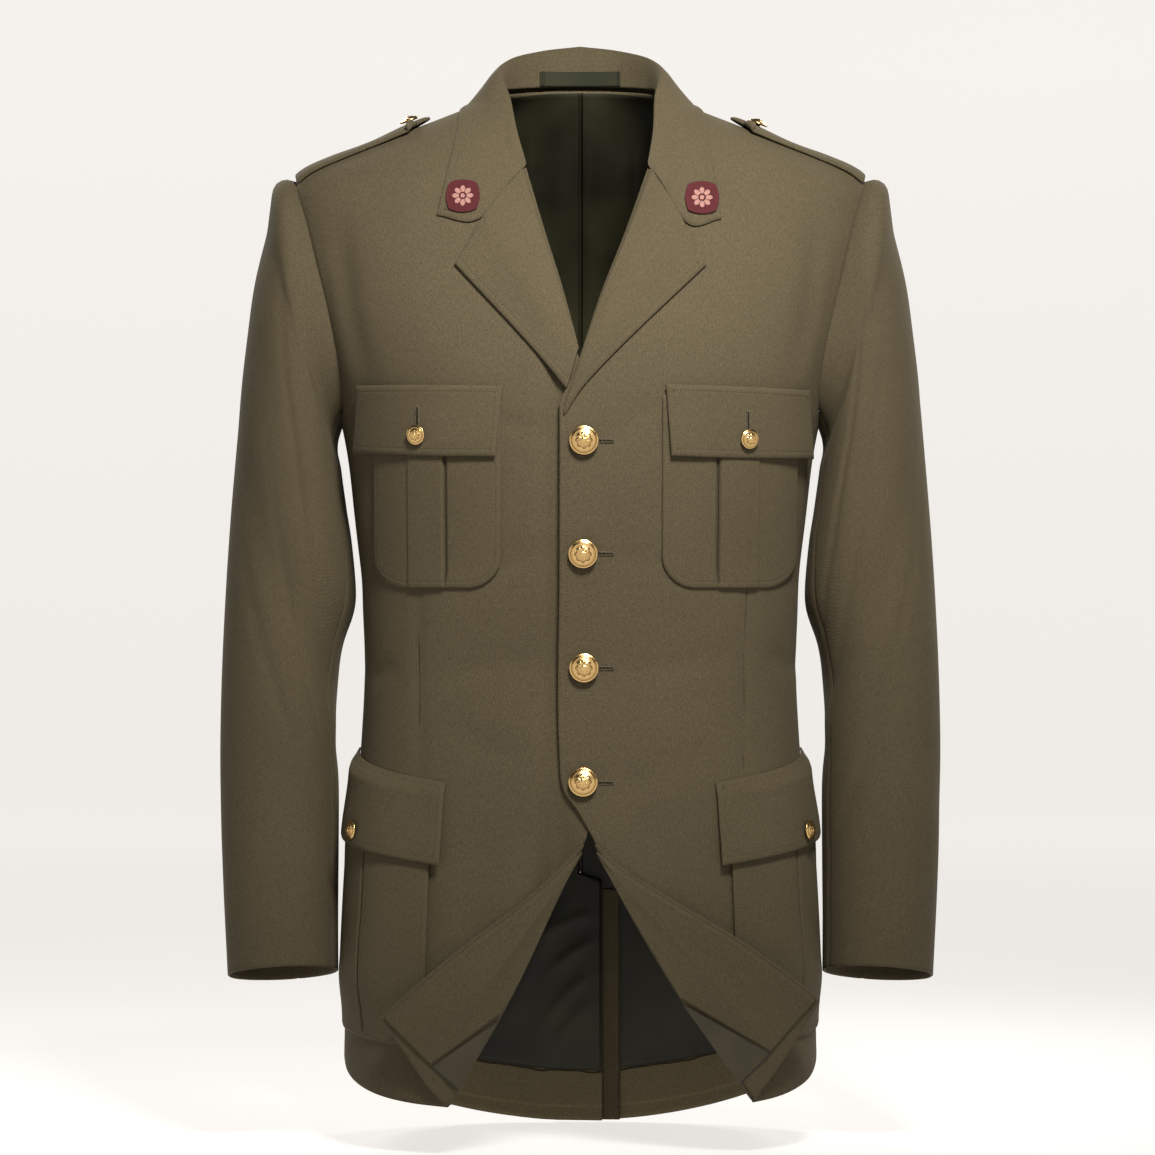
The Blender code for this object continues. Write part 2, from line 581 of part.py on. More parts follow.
COLLAR_COLUMNS = (
    "station",
    "neck_x", "neck_y", "neck_z",
    "fold_x", "fold_y", "fold_z",
    "mid_x", "mid_y", "mid_z",
    "edge_x", "edge_y", "edge_z",
)
COLLAR_ROWS = {
    "left": (
        (0.0, 0.0, 0.037, 0.0275, 0.0, 0.0465, 0.0605, 0.0, 0.056, 0.037, 0.0, 0.061, 0.012),
        (0.22, 0.029, 0.032, 0.0265, 0.032, 0.039, 0.056, 0.04, 0.049, 0.035, 0.047, 0.056, 0.01),
        (0.42, 0.052, 0.016, 0.0235, 0.057, 0.017, 0.047, 0.07, 0.024, 0.029, 0.082, 0.033, 0.006),
        (0.58, 0.06, -0.002, 0.02, 0.0655, -0.005, 0.0345, 0.08, -0.006, 0.02, 0.096, -0.008, 0.003),
        (0.72, 0.06, -0.013, 0.008, 0.0605, -0.023, 0.014, 0.08, -0.034, -0.008, 0.1, -0.035, -0.02),
        (0.86, 0.059, -0.038, -0.015, 0.0585, -0.051, -0.0165, 0.079, -0.06, -0.047, 0.105, -0.062, -0.056),
        (1.0, 0.057, -0.06, -0.04, 0.054, -0.069, -0.0445, 0.0825, -0.083, -0.0965, 0.1094, -0.08, -0.092),
    ),
    "right": (
        (0.0, 0.0, 0.037, 0.0275, 0.0, 0.0465, 0.0605, 0.0, 0.056, 0.037, 0.0, 0.061, 0.012),
        (0.22, 0.029, 0.032, 0.0265, 0.032, 0.039, 0.056, 0.04, 0.049, 0.035, 0.047, 0.056, 0.01),
        (0.42, 0.052, 0.016, 0.0235, 0.057, 0.017, 0.047, 0.07, 0.024, 0.029, 0.082, 0.033, 0.006),
        (0.58, 0.06, -0.002, 0.02, 0.0655, -0.005, 0.0345, 0.08, -0.006, 0.02, 0.095, -0.008, 0.0035),
        (0.72, 0.057, -0.013, 0.008, 0.0575, -0.023, 0.014, 0.077, -0.034, -0.008, 0.0975, -0.035, -0.016),
        (0.86, 0.054, -0.038, -0.015, 0.051, -0.051, -0.0165, 0.075, -0.06, -0.045, 0.105, -0.062, -0.052),
        (1.0, 0.048, -0.06, -0.04, 0.0436, -0.07, -0.0445, 0.0792, -0.083, -0.093, 0.1117, -0.079, -0.089),
    ),
}
CELLS_COLLAR_HALF = 11
# How far along its way from the neck seam to the leaf's edge the collar has its points
COLLAR_STEPS = (0.0, 0.10, 0.20, 0.27, 0.33, 0.40, 0.50, 0.62, 0.75, 0.88, 1.0)
FOLD_ROUND = 0.0032      # half thickness of the folded collar


def collar_half(name):
    """Grid of the collar's outer face on one side: rows from centre back to the gorge."""
    cut = table(COLLAR_COLUMNS, COLLAR_ROWS[name])
    at = np.linspace(0, 1, CELLS_COLLAR_HALF + 1)
    neck, fold, mid, rim = (
        smooth(at, cut["station"], np.stack([cut[f"{line}_{c}"] for c in "xyz"], -1))
        for line in ("neck", "fold", "mid", "edge")
    )
    away = fold * (1, 1, 0)
    away = away / np.linalg.norm(away, axis=1, keepdims=True)
    before = neck * 0.25 + fold * 0.75 - away * FOLD_ROUND * 0.4
    after = fold * 0.75 + mid * 0.25 + away * FOLD_ROUND * 0.5
    way = np.stack([neck, before, fold, after, mid, rim], 0)
    knots = (0.0, 0.22, 0.33, 0.44, 0.70, 1.0)
    grid = smooth(np.array(COLLAR_STEPS), knots, way).transpose(1, 0, 2)
    grid[:, 5:] = seat(grid[:, 5:], LYING + TRIM, press=False)
    return grid


def depth_at(grid, x, z):
    """Depth of a grid of points where the front view shows x and z, as a mean of the nearest points on it."""
    rows, columns = grid.shape[:2]
    fine = smooth(np.linspace(0, rows - 1, 8 * rows), np.arange(rows), grid)
    fine = smooth(np.linspace(0, columns - 1, 8 * columns), np.arange(columns), fine.transpose(1, 0, 2))
    fine = fine.reshape(-1, 3)
    apart = (x[..., None] - fine[:, 0]) ** 2 + (z[..., None] - fine[:, 2]) ** 2
    weight = np.exp(-apart / 0.0012**2) + 1e-12 / (apart + 1e-9)
    return (weight * fine[:, 1]).sum(-1) / weight.sum(-1)


def collar():
    """The collar, one piece from the right gorge round the back to the left gorge."""
    left, right = collar_half("left"), collar_half("right") * (-1, 1, 1)
    outer = np.concatenate([right[:0:-1], left])
    wall("collar", outer, outer + normals_of(outer) * TRIM, wool())
    return {"left": left, "right": right * (-1, 1, 1)}


# Folded-back corners of the skirt

CORNER_TOP = APEX - 0.008
# Each edge of a corner as the front view shows it, from the hem up or from the fold outward
CORNER = {
    "left": {
        "welt": (
            (0.1877, -0.7040), (0.1722, -0.6900), (0.1329, -0.6610),
            (0.0678, -0.6210), (0.0318, -0.5980), (0.0130, CORNER_TOP),
        ),
        "hem": ((0.1358, -0.7835), (0.1540, -0.7580), (0.1859, -0.7076), (0.1877, -0.7040)),
        "facing_hem": ((0.1494, -0.7440), (0.1850, -0.7040)),
        "facing_top": (0.0788, -0.7013),
        "lining_foot": (0.1255, -0.7690),
    },
    "right": {
        "welt": (
            (0.1565, -0.7165), (0.1175, -0.6815), (0.0808, -0.6520),
            (0.0504, -0.6294), (0.0210, -0.6040), (-0.0010, CORNER_TOP),
        ),
        "hem": ((0.1027, -0.7855), (0.1071, -0.7830), (0.1447, -0.7332), (0.1565, -0.7165)),
        "facing_hem": ((0.1172, -0.7535), (0.1540, -0.7175)),
        "facing_top": (0.0640, -0.7140),
        "lining_foot": (0.0955, -0.7725),
    },
}
CORNER_FLAT = 0.5        # how much of the body's rounding the stiff corner follows
CELLS_CORNER = 8
ROLLED_OUT = 0.0015      # how far the fold stands past the panel's edge


def corner_face(name, grid, out):
    """Points of a corner in front of the worn shape, from x and z."""
    fold_x, fold_z = np.array(FOLD_LINE[name]).T
    x, z = grid[..., 0], grid[..., 1]
    at_fold = np.interp(z, fold_z, fold_x)
    follow = at_fold + CORNER_FLAT * (x - at_fold)
    y = shape(angle_at(follow, z), z)[..., 1]
    return np.stack([x, y - out, z], -1)


def corner_wall(name, piece, grid, out, thickness, cover, side):
    outer, inner = corner_face(name, grid, out + thickness), corner_face(name, grid, out)
    wall(f"{piece}_{name}", outer, inner, cover, side)


def corners():
    """Each folded-back corner: the turned panel, and on it the facing and the lining that show."""
    for name, side in SIDES:
        cut = CORNER[name]
        fold = np.array(FOLD_LINE[name]) - (ROLLED_OUT, 0)
        fold[-1] = (fold[-1][0] + 0.0025, APEX - 0.008)
        left = edge((fold, CELLS_CORNER))
        right = edge((cut["welt"], CELLS_CORNER))
        bottom = edge((cut["hem"], 5))
        top = np.linspace(left[-1], right[-1], 6)
        bottom[0], bottom[-1] = left[0], right[0]
        corner_wall(name, "corner", fill(left, right, bottom, top), LYING, TRIM, wool(), side)

        lift = LYING + TRIM + 0.0004
        tops = np.array(cut["facing_top"])
        keep = fold[:, 1] > tops[1] + 0.004
        inner_fold = np.concatenate([[tops], fold[keep][:-1] + (0.0008, 0), [fold[-1] + (0.0016, -0.006)]])
        welt = np.array(cut["welt"]) + (-0.0014, -0.0022)
        welt[0] = cut["facing_hem"][1]
        welt[-1] = inner_fold[-1] + (0.0008, 0.0006)
        left = edge((inner_fold, CELLS_CORNER))
        right = edge((welt, CELLS_CORNER))
        bottom = edge(((tops, cut["facing_hem"][0]), 3), (cut["facing_hem"], 3))
        top = np.linspace(left[-1], right[-1], 7)
        corner_wall(name, "skirt_facing", fill(left, right, bottom, top), lift, 0.0010, wool(), side)

        foot = np.array(cut["lining_foot"])
        gap = np.array((0.0003, -0.0006))
        left = edge(((foot, tops + gap + (0.0008, -0.003)), 5))
        right = edge(((foot + (0.0012, 0.0010), np.array(cut["facing_hem"][0]) + gap), 1),
                     ((np.array(cut["facing_hem"][0]) + gap, tops + gap + (0.0016, -0.0033)), 4))
        bottom = np.linspace(left[0], right[0], 4)
        top = np.linspace(left[-1], right[-1], 4)
        corner_wall(name, "corner_lining", fill(left, right, bottom, top), lift, 0.0008, lining_cloth(), side)


# Lining, hem and vent inside the back

INSIDE = CLOTH + 0.0006  # outer face of what lies inside a panel
HEM_EDGE = 0.010         # height of the panel's own strip below the turned-up hem
HEM_GAP = 0.0005         # gap between the turned-up hem and the lining
TRIM_CENTRE, TRIM_SIDE, TRIM_TOP = 0.03, 0.15, 0.03     # share of the outermost cells that is cut away
FACING_X = (0.0190, 0.0330)     # edges of the vent's facing


def insides():
    """Turned-up hems, the back lining and the vent's facing, all on the backs' own points."""
    for name, side in SIDES:
        faces = back_faces(back_grid(side), INSIDE, THIN, side)
        for face in faces:
            face[:, 0] += TRIM_CENTRE * (face[:, 1] - face[:, 0])
            face[:, -1] += TRIM_SIDE * (face[:, -2] - face[:, -1])
            face[-1] += TRIM_TOP * (face[-2] - face[-1])
        hem, lining = [face[:2].copy() for face in faces], [face[1:].copy() for face in faces]
        for low, high in zip(hem, lining):
            low[0] += HEM_EDGE / HEM_TOP * (low[1] - low[0])
            low[1] += HEM_GAP / HEM_TOP * (low[0] - low[1])
        wall(f"hem_{name}", *hem, wool(), side)
        wall(f"lining_{name}", *lining, lining_cloth(), side)
    z = np.linspace(hem_height(180) + HEM_GAP, VENT_TOP - HEM_EDGE, 9)[:, None]
    x = np.linspace(*FACING_X, 3)[None]
    wall("vent_facing", *back_faces(girth_at(x, z), INSIDE + THIN + LYING, THIN, 1), wool())


def hanger_loop():
    """Flat satin loop across the inside of the collar's stand."""
    stand = np.concatenate([collar_half("right")[:0:-1, :4] * (-1, 1, 1), collar_half("left")[:, :4]])
    x, z = np.meshgrid(np.linspace(-0.032, 0.032, 9), np.array([0.0280, 0.0330, 0.0380]))
    outer = np.stack([x, depth_at(stand, x, z) - LYING - 0.0014, z], -1)
    wall("hanger_loop", outer, outer + (0, 0.0014, 0), lining_cloth())


# Epaulettes

STRAP_END, STRAP_TIP = 0.2300, 0.1215
STRAP_HALF_OUT, STRAP_HALF_IN = 0.0265, 0.0225
STRAP_THICK = 0.0028
STRAP_LIFT = 0.0035      # how far the neck end stands off
STRAP_POINT = 0.0128     # length of the pointed end
STRAP_NARROW = 0.35      # share of its width that the pointed end loses


def strap_face(out):
    """Grid of an epaulette at a distance above the shoulder, from the armhole to the neck end."""
    run = np.linspace(0, 1, 11)[:, None]
    across = np.linspace(-1, 1, 5)[None]
    x = STRAP_END + (STRAP_TIP - STRAP_END) * run
    half = STRAP_HALF_OUT + (STRAP_HALF_IN - STRAP_HALF_OUT) * run
    x = x + STRAP_POINT * across**2 * step(run, 0.80, 1.0)
    y = across * half * (1 - STRAP_NARROW * step(run, 0.88, 1.0))
    ridge = 0.006 - 0.39 * (x - 0.0906)
    start = np.stack(np.broadcast_arrays(x, y, ridge + 0.004 - 0.25 * np.abs(y)), -1)
    lift = STRAP_LIFT * step(run, 0.45, 1.0) + 0 * across
    return seat(start, out + lift)


def epaulettes():
    for name, side in SIDES:
        wall(f"epaulette_{name}", strap_face(LYING + STRAP_THICK), strap_face(LYING), wool(), side)


# Breast pockets

# Flap corners from its inner top one round to its inner low one, and the x of the edges of pocket and pleat
BREAST = {
    "left": {
        "flap": ((0.0664, -0.2215), (0.1775, -0.2235), (0.1790, -0.2765), (0.0700, -0.2765)),
        "pocket": (0.0640, 0.1710),
        "pleat": (0.1085, 0.1385),
    },
    "right": {
        "flap": ((0.0605, -0.2230), (0.1735, -0.2200), (0.1750, -0.2724), (0.0655, -0.2770)),
        "pocket": (0.0620, 0.1625),
        "pleat": (0.1070, 0.1340),
    },
}
BREAST_TOP, BREAST_BOTTOM = -0.2300, -0.3800
BREAST_ROUND = 0.026     # radius of the pocket's lower corners
PLEAT_RISE = 0.0012
PLEAT_EDGE = 0.0006      # half of the width over which the pleat rises
FLAP_OVER = 2 * LYING + TRIM + PLEAT_RISE       # inner face of a flap that lies on a pocket
FLAP_OPEN = 0.0016       # how much further its lower edge stands off


def breast_pockets():
    """Patch pocket with a box pleat, and its flap."""
    for name, side in SIDES:
        cut = BREAST[name]
        near, far = cut["pocket"]
        v = np.linspace(0, 1, 7)[:, None] ** 1.5
        pleat_near, pleat_far = cut["pleat"]
        x = np.concatenate([
            np.linspace(near, pleat_near - PLEAT_EDGE, 6),
            [pleat_near + PLEAT_EDGE, (pleat_near + pleat_far) / 2, pleat_far - PLEAT_EDGE],
            np.linspace(pleat_far + PLEAT_EDGE, far, 6),
        ])[None]
        z = BREAST_BOTTOM + (BREAST_TOP - BREAST_BOTTOM) * v
        reach = np.clip(np.minimum(x - near, far - x) / BREAST_ROUND, 0, 1)
        lift = BREAST_ROUND * (1 - np.sqrt(1 - (1 - reach) ** 2)) * (1 - step(v, 0, 1))
        z = z + lift
        x = x + 0 * z
        raised = PLEAT_RISE * ((x > pleat_near) & (x < pleat_far))
        angle = angle_at(x, z)
        outer, inner = on_form(angle, z, LYING + TRIM + raised), on_form(angle, z, LYING)
        wall(f"breast_pocket_{name}", outer, inner, wool(), side)
        top_in, top_out, low_out, low_in = (np.array(p) for p in cut["flap"])
        left = edge(((low_in, top_in), 4))
        right = edge(((low_out, top_out), 4))
        bottom, top = edge(((low_in, low_out), 9)), edge(((top_in, top_out), 9))
        grid = fill(left, right, bottom, top)
        v = np.linspace(0, 1, 5)[:, None]
        out = FLAP_OVER + FLAP_OPEN * (1 - step(v, 0, 0.8)) + 0 * grid[..., 0]
        angle, z = angle_at(grid[..., 0], grid[..., 1]), grid[..., 1]
        wall(f"breast_flap_{name}", on_form(angle, z, out + TRIM), on_form(angle, z, out), wool(), side)


# Lower pockets

POCKET_FRONT, POCKET_BACK, POCKET_PLEAT = 38.0, 90.0, 60.0      # angles
POCKET_TOP, POCKET_BOTTOM, POCKET_SLANT = -0.545, -0.741, 0.012
POCKET_STAND = 0.0060    # how far the bellows stand off at the pleat
FLAP_FRONT, FLAP_BACK = 34.5, 92.0
FLAP_TOP, FLAP_BOTTOM, FLAP_SLANT = -0.533, -0.598, 0.024
FLAP_STAND = 0.0022


def pocket_out(angle, v):
    """How far the bellows pocket's outer face stands out, by angle and height share."""
    rise = step(angle, POCKET_FRONT, POCKET_PLEAT - 2)
    fall = 1 - 0.55 * step(angle, POCKET_PLEAT + 8, POCKET_BACK)
    return LYING + TRIM + POCKET_STAND * rise * fall * step(v, 0, 0.25) * (1 - 0.9 * step(v, 0.78, 1.0))


def flap_in(angle, v):
    """How far the lower flap's inner face stands out, over the pocket."""
    below = pocket_out(angle, 0.7) * (1 - step(v, 0.80, 1.0))
    return below + LYING + FLAP_STAND * (1 - step(v, 0, 0.7))


def lower_pockets():
    """Bellows pocket with a pleat, and its flap, both bent round the hip."""
    for name, side in SIDES:
        angle = np.concatenate([
            np.linspace(POCKET_FRONT, POCKET_PLEAT - 0.8, 8),
            [POCKET_PLEAT, POCKET_PLEAT + 0.8],
            np.linspace(POCKET_PLEAT + 6, POCKET_BACK, 5),
        ])[None]
        v = np.linspace(0, 1, 8)[:, None]
        slant = POCKET_SLANT * (angle - POCKET_FRONT) / (POCKET_BACK - POCKET_FRONT)
        z = POCKET_BOTTOM + slant + (POCKET_TOP - POCKET_BOTTOM) * v
        angle = angle + 0 * z
        out = pocket_out(angle, v)
        out = out - 0.5 * (out - LYING - TRIM) * (angle == POCKET_PLEAT)
        wall(f"lower_pocket_{name}", on_form(angle, z, out), on_form(angle, z, out - TRIM), wool(), side)
        angle = np.linspace(FLAP_FRONT, FLAP_BACK, 14)[None]
        v = np.array([0, 0.4, 0.8, 0.9, 1.0])[:, None]
        slant = FLAP_SLANT * (angle - FLAP_FRONT) / (FLAP_BACK - FLAP_FRONT)
        z = FLAP_BOTTOM + slant + (FLAP_TOP - FLAP_BOTTOM) * v
        angle = angle + 0 * z
        out = flap_in(angle, v)
        wall(f"lower_flap_{name}", on_form(angle, z, out + TRIM), on_form(angle, z, out), wool(), side)


# Buttons

FRONT_BUTTONS = ((0.0027, -0.2648), (0.0020, -0.3529), (0.0027, -0.4426), (0.0020, -0.5323))
FRONT_SEATS = (0.0, 0.0, 0.0006, 0.0)   # the waist is hollow there, so the third one stands off more
FRONT_RADIUS, SMALL_RADIUS = 0.0115, 0.0078
FRONT_SHANK, SMALL_SHANK = 0.0026, 0.0018
BUTTON_SIDES = 14
# Radius and height of the button's back, rim and dome above its shank, in shares of its radius
BUTTON_ROWS = ((0.26, 0.0), (0.90, 0.0), (1.0, 0.12), (0.93, 0.24), (0.55, 0.42), (0.0, 0.50))
BREAST_BUTTONS = {"left": (0.1280, -0.2627), "right": (0.1246, -0.2596)}
LOWER_BUTTON = (63.5, -0.5735)          # angle and height
EPAULETTE_BUTTONS = {"left": 0.1425, "right": 0.1370}
EPAULETTE_AXIS = (0.35, -0.12, 1.0)


def button_profile(radius, shank):
    """Radius and height above the cloth: shank, flat back, rim and dome."""
    return [(0, SEAM), (0.26 * radius, SEAM)] + [(r * radius, shank + h * radius) for r, h in BUTTON_ROWS]


def button_on(name, angle, z, out, radius, shank, side=1):
    """Button at a distance outside the worn shape."""
    z = np.array(z)
    place, axis = on_form(angle, z, out), outward(angle, z)
    turned(name, button_profile(radius, shank), place, axis, side)


def buttons():
    for number, ((x, z), out) in enumerate(zip(FRONT_BUTTONS, FRONT_SEATS), 1):
        button_on(f"front_button_{number}", angle_at(x, z), z, out, FRONT_RADIUS, FRONT_SHANK)
    for name, side in SIDES:
        x, z = BREAST_BUTTONS[name]
        out = FLAP_OVER + TRIM + FLAP_OPEN * 0.75
        button_on(f"breast_button_{name}", angle_at(x, z), z, out, SMALL_RADIUS, SMALL_SHANK, side)
        angle, z = LOWER_BUTTON
        out = flap_in(angle, 0.1) + TRIM
        button_on(f"lower_button_{name}", np.array(angle), z, out, SMALL_RADIUS, SMALL_SHANK, side)
        top = strap_face(LYING + STRAP_THICK)[:, 2]
        place = np.array([np.interp(-EPAULETTE_BUTTONS[name], -top[:, 0], c) for c in top.T])
        profile = button_profile(SMALL_RADIUS, SMALL_SHANK)
        turned(f"epaulette_button_{name}", profile, place + (0, 0, 2 * SEAM), EPAULETTE_AXIS, side)


# Badges

BADGE_PLACE = {"left": (0.0960, -0.0720), "right": (0.0929, -0.0706)}
BADGE_HALF = 0.0135
BADGE_ROUND = 0.35       # 0 is a square patch and 0.5 a round one
BADGE_THICK = 0.0012


def badges(leaves):
    """Rounded cloth patch on each leaf of the collar."""
    a, b = np.meshgrid(np.linspace(-1, 1, 5), np.linspace(-1, 1, 5))
    for name, side in SIDES:
        x = BADGE_PLACE[name][0] + BADGE_HALF * a * np.sqrt(1 - b * b * BADGE_ROUND)
        z = BADGE_PLACE[name][1] + BADGE_HALF * b * np.sqrt(1 - a * a * BADGE_ROUND)
        depth = depth_at(leaves[name][5:, 4:], x, z) - LYING - BADGE_THICK
        outer = np.stack([x, depth, z], -1)
        wall(f"badge_{name}", outer, outer + (0, BADGE_THICK, 0), badge_cloth(), side)


def main():
    for old in list(bpy.data.objects):
        bpy.data.objects.remove(old)
    fronts()
    backs()
    sleeves()
    lapels()
    leaves = collar()
    corners()
    insides()
    hanger_loop()
    epaulettes()
    breast_pockets()
    lower_pockets()
    buttons()
    badges(leaves)


main()
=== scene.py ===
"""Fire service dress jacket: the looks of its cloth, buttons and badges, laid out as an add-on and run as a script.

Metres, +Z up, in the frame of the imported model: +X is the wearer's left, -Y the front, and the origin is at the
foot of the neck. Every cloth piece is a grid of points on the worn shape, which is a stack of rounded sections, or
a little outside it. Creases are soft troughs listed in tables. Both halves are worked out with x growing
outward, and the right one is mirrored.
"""

import math

import bpy
import numpy as np
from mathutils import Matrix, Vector


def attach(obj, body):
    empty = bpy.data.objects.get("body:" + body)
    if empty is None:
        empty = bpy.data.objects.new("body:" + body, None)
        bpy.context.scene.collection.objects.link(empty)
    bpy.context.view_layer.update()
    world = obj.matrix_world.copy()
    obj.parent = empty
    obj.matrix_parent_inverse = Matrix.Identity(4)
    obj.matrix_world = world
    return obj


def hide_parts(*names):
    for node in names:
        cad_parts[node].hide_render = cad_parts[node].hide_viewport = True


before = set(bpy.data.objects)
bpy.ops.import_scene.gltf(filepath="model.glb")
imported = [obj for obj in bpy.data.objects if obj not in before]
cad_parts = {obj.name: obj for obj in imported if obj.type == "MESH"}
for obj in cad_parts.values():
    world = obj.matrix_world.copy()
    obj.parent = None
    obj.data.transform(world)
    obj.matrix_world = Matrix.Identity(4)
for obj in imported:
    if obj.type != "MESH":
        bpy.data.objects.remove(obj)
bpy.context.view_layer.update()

bl_info = {
    "name": "Service Dress Jacket",
    "version": (1, 0, 0),
    "blender": (4, 5, 0),
    "location": "View3D > Sidebar > Jacket",
    "description": "Builds the cloth, buttons and badges of a wool service dress jacket",
    "category": "Add Mesh",
}

# Gaps, the same as in the solids

SEAM = 0.0002            # half of the gap at a seam
LYING = 0.0008           # gap below what lies on a panel
TRIM = 0.0016            # pockets, flaps, lapels and folded-back corners
UNDERLAP = 0.0028        # how far inside the upper front the under one lies

# The worn shape: a section at each height

FORM_COLUMNS = ("height", "half_width", "front_depth", "back_depth", "squareness")
FORM_ROWS = (
    (-0.860, 0.1915, 0.139, 0.139, 2.35),
    (-0.780, 0.1905, 0.137, 0.138, 2.35),
    (-0.700, 0.1885, 0.134, 0.134, 2.35),
    (-0.630, 0.1855, 0.130, 0.128, 2.35),
    (-0.560, 0.1810, 0.124, 0.118, 2.35),
    (-0.500, 0.1760, 0.118, 0.107, 2.30),
    (-0.440, 0.1735, 0.116, 0.102, 2.30),
    (-0.380, 0.1765, 0.121, 0.108, 2.30),
    (-0.320, 0.1820, 0.128, 0.118, 2.35),
    (-0.270, 0.1880, 0.131, 0.125, 2.40),
    (-0.235, 0.1960, 0.131, 0.127, 2.40),
    (-0.200, 0.2090, 0.128, 0.126, 2.40),
    (-0.160, 0.2220, 0.119, 0.121, 2.40),
    (-0.120, 0.2310, 0.107, 0.111, 2.35),
    (-0.085, 0.2355, 0.092, 0.099, 2.30),
    (-0.062, 0.2345, 0.079, 0.089, 2.25),
    (-0.048, 0.2230, 0.070, 0.081, 2.20),
    (-0.035, 0.1955, 0.061, 0.073, 2.20),
    (-0.020, 0.1572, 0.051, 0.064, 2.20),
    (-0.005, 0.1188, 0.041, 0.055, 2.20),
    (0.006, 0.0906, 0.034, 0.049, 2.20),
    (0.016, 0.0650, 0.028, 0.044, 2.20),
    (0.026, 0.0500, 0.022, 0.040, 2.20),
    (0.045, 0.0420, 0.014, 0.036, 2.20),
)
HEM_ANGLES = (0, 30, 50, 70, 90, 110, 130, 147, 165, 180)
HEM_HEIGHTS = (-0.787, -0.786, -0.781, -0.769, -0.752, -0.764, -0.790, -0.808, -0.820, -0.823)

BREAK = -0.236           # foot of the lapels
APEX = -0.573            # where the fronts part
UNDERARM = -0.245
TIP = -0.056             # outer end of the shoulder seam
NECK_SIDE = 0.016        # inner end of the shoulder seam
NECK_BACK = 0.024        # back neck seam at the centre
VENT_TOP = -0.620
LAP = 0.016              # how far the left front passes the centre
RIGHT_LAP = 0.012
VENT_LAP = 0.020         # how far each back passes the centre in the vent
SIDE_SEAM = 96.0         # angle of the side seam below the armhole

SIDES = (("left", 1), ("right", -1))
FAR = 1.0                # distance attribute where there is no seam or stitching
OPEN_TOP = ("left", "bottom", "right")
ALL_ROUND = (*OPEN_TOP, "top")


def table(columns, rows):
    """A table's columns by name."""
    return dict(zip(columns, np.array(rows, float).T))


FORM = table(FORM_COLUMNS, FORM_ROWS)


def smooth(at, xs, ys):
    """Cubic curve through a table's points, xs rising. Its slope at a point is the mean of those beside it."""
    xs, ys, at = np.asarray(xs, float), np.asarray(ys, float), np.asarray(at, float)
    more = (1,) * (ys.ndim - 1)
    spans = np.diff(ys, axis=0) / np.diff(xs).reshape(-1, *more)
    slopes = np.concatenate([spans[:1], (spans[1:] + spans[:-1]) / 2, spans[-1:]])
    i = np.clip(np.searchsorted(xs, at) - 1, 0, len(xs) - 2)
    width = (xs[i + 1] - xs[i]).reshape(at.shape + more)
    s = np.clip((at - xs[i]) / (xs[i + 1] - xs[i]), 0, 1).reshape(at.shape + more)
    return (
        ys[i] * (1 + 2 * s) * (1 - s) ** 2
        + ys[i + 1] * s * s * (3 - 2 * s)
        + width * (slopes[i] * s * (1 - s) ** 2 - slopes[i + 1] * s * s * (1 - s))
    )


def step(at, low, high):
    """0 below low, 1 above high and a smooth rise between: 3s^2 - 2s^3."""
    s = np.clip((np.asarray(at, float) - low) / (high - low), 0, 1)
    return s * s * (3 - 2 * s)


def bell(at, middle, width):
    """1 at the middle, falling off on both sides as exp(-(d/width)^2) of the distance d from it."""
    return np.exp(-(((at - middle) / width) ** 2))


# The worn shape


def quarter(z):
    """About a quarter of the girth at height z: that of an ellipse of the section's half width and depth."""
    half, front = (smooth(z, FORM["height"], FORM[c]) for c in ("half_width", "front_depth"))
    return math.pi / 2 * np.sqrt((half**2 + front**2) / 2)


def shape(angle, z):
    """Point of the worn shape: on the section at z, |x/a|^p + |y/b|^p = 1, at an angle from centre front."""
    half, front, back, power = (smooth(z, FORM["height"], FORM[c]) for c in FORM_COLUMNS[1:])
    across, ahead = np.sin(np.radians(angle)), np.cos(np.radians(angle))
    swell = (np.abs(across) ** power + np.abs(ahead) ** power) ** (-1 / power)
    depth = np.where(ahead > 0, front, back)
    return np.stack([half * across * swell, -depth * ahead * swell, z + 0 * angle], -1)


def outward(angle, z):
    """Unit vector out of the worn shape: the cross product of its slopes round it and up it."""
    turn, rise = 0.5, 0.0015
    around = shape(angle + turn, z) - shape(angle - turn, z)
    upward = shape(angle, z + rise) - shape(angle, z - rise)
    normal = np.cross(around, upward)
    return normal / np.linalg.norm(normal, axis=-1, keepdims=True)


def on_form(angle, z, out=0.0):
    """Point at a distance outside the worn shape: the shape's point plus its outward vector times that distance."""
    angle, z = np.broadcast_arrays(np.asarray(angle, float), np.asarray(z, float))
    return shape(angle, z) + outward(angle, z) * np.broadcast_to(out, z.shape)[..., None]


def angle_at(x, z):
    """Angle, from centre front or centre back, of the point that a view from there shows at x and z."""
    half, power = (smooth(z, FORM["height"], FORM[c]) for c in ("half_width", "squareness"))
    ratio = np.clip(np.abs(x) / half, 0, 0.9999)
    return np.sign(x) * np.degrees(np.arctan2(ratio, (1 - ratio**power) ** (1 / power)))


def hem_height(angle):
    """Height of the hem at an angle from centre front."""
    return smooth(np.abs(angle), HEM_ANGLES, HEM_HEIGHTS)


def distance(points):
    """About how far points lie outside the worn shape, and the unit vector out of it there."""

    def ratio(p):
        half, front, back, power = (smooth(p[..., 2], FORM["height"], FORM[c]) for c in FORM_COLUMNS[1:])
        depth = np.where(p[..., 1] < 0, front, back)
        return ((np.abs(p[..., 0]) / half) ** power + (np.abs(p[..., 1]) / depth) ** power) ** (1 / power)

    nudge = 0.0005
    slope = np.stack([(ratio(points + d) - ratio(points - d)) / (2 * nudge) for d in np.eye(3) * nudge], -1)
    steep = np.linalg.norm(slope, axis=-1)
    return (ratio(points) - 1) / steep, slope / steep[..., None]


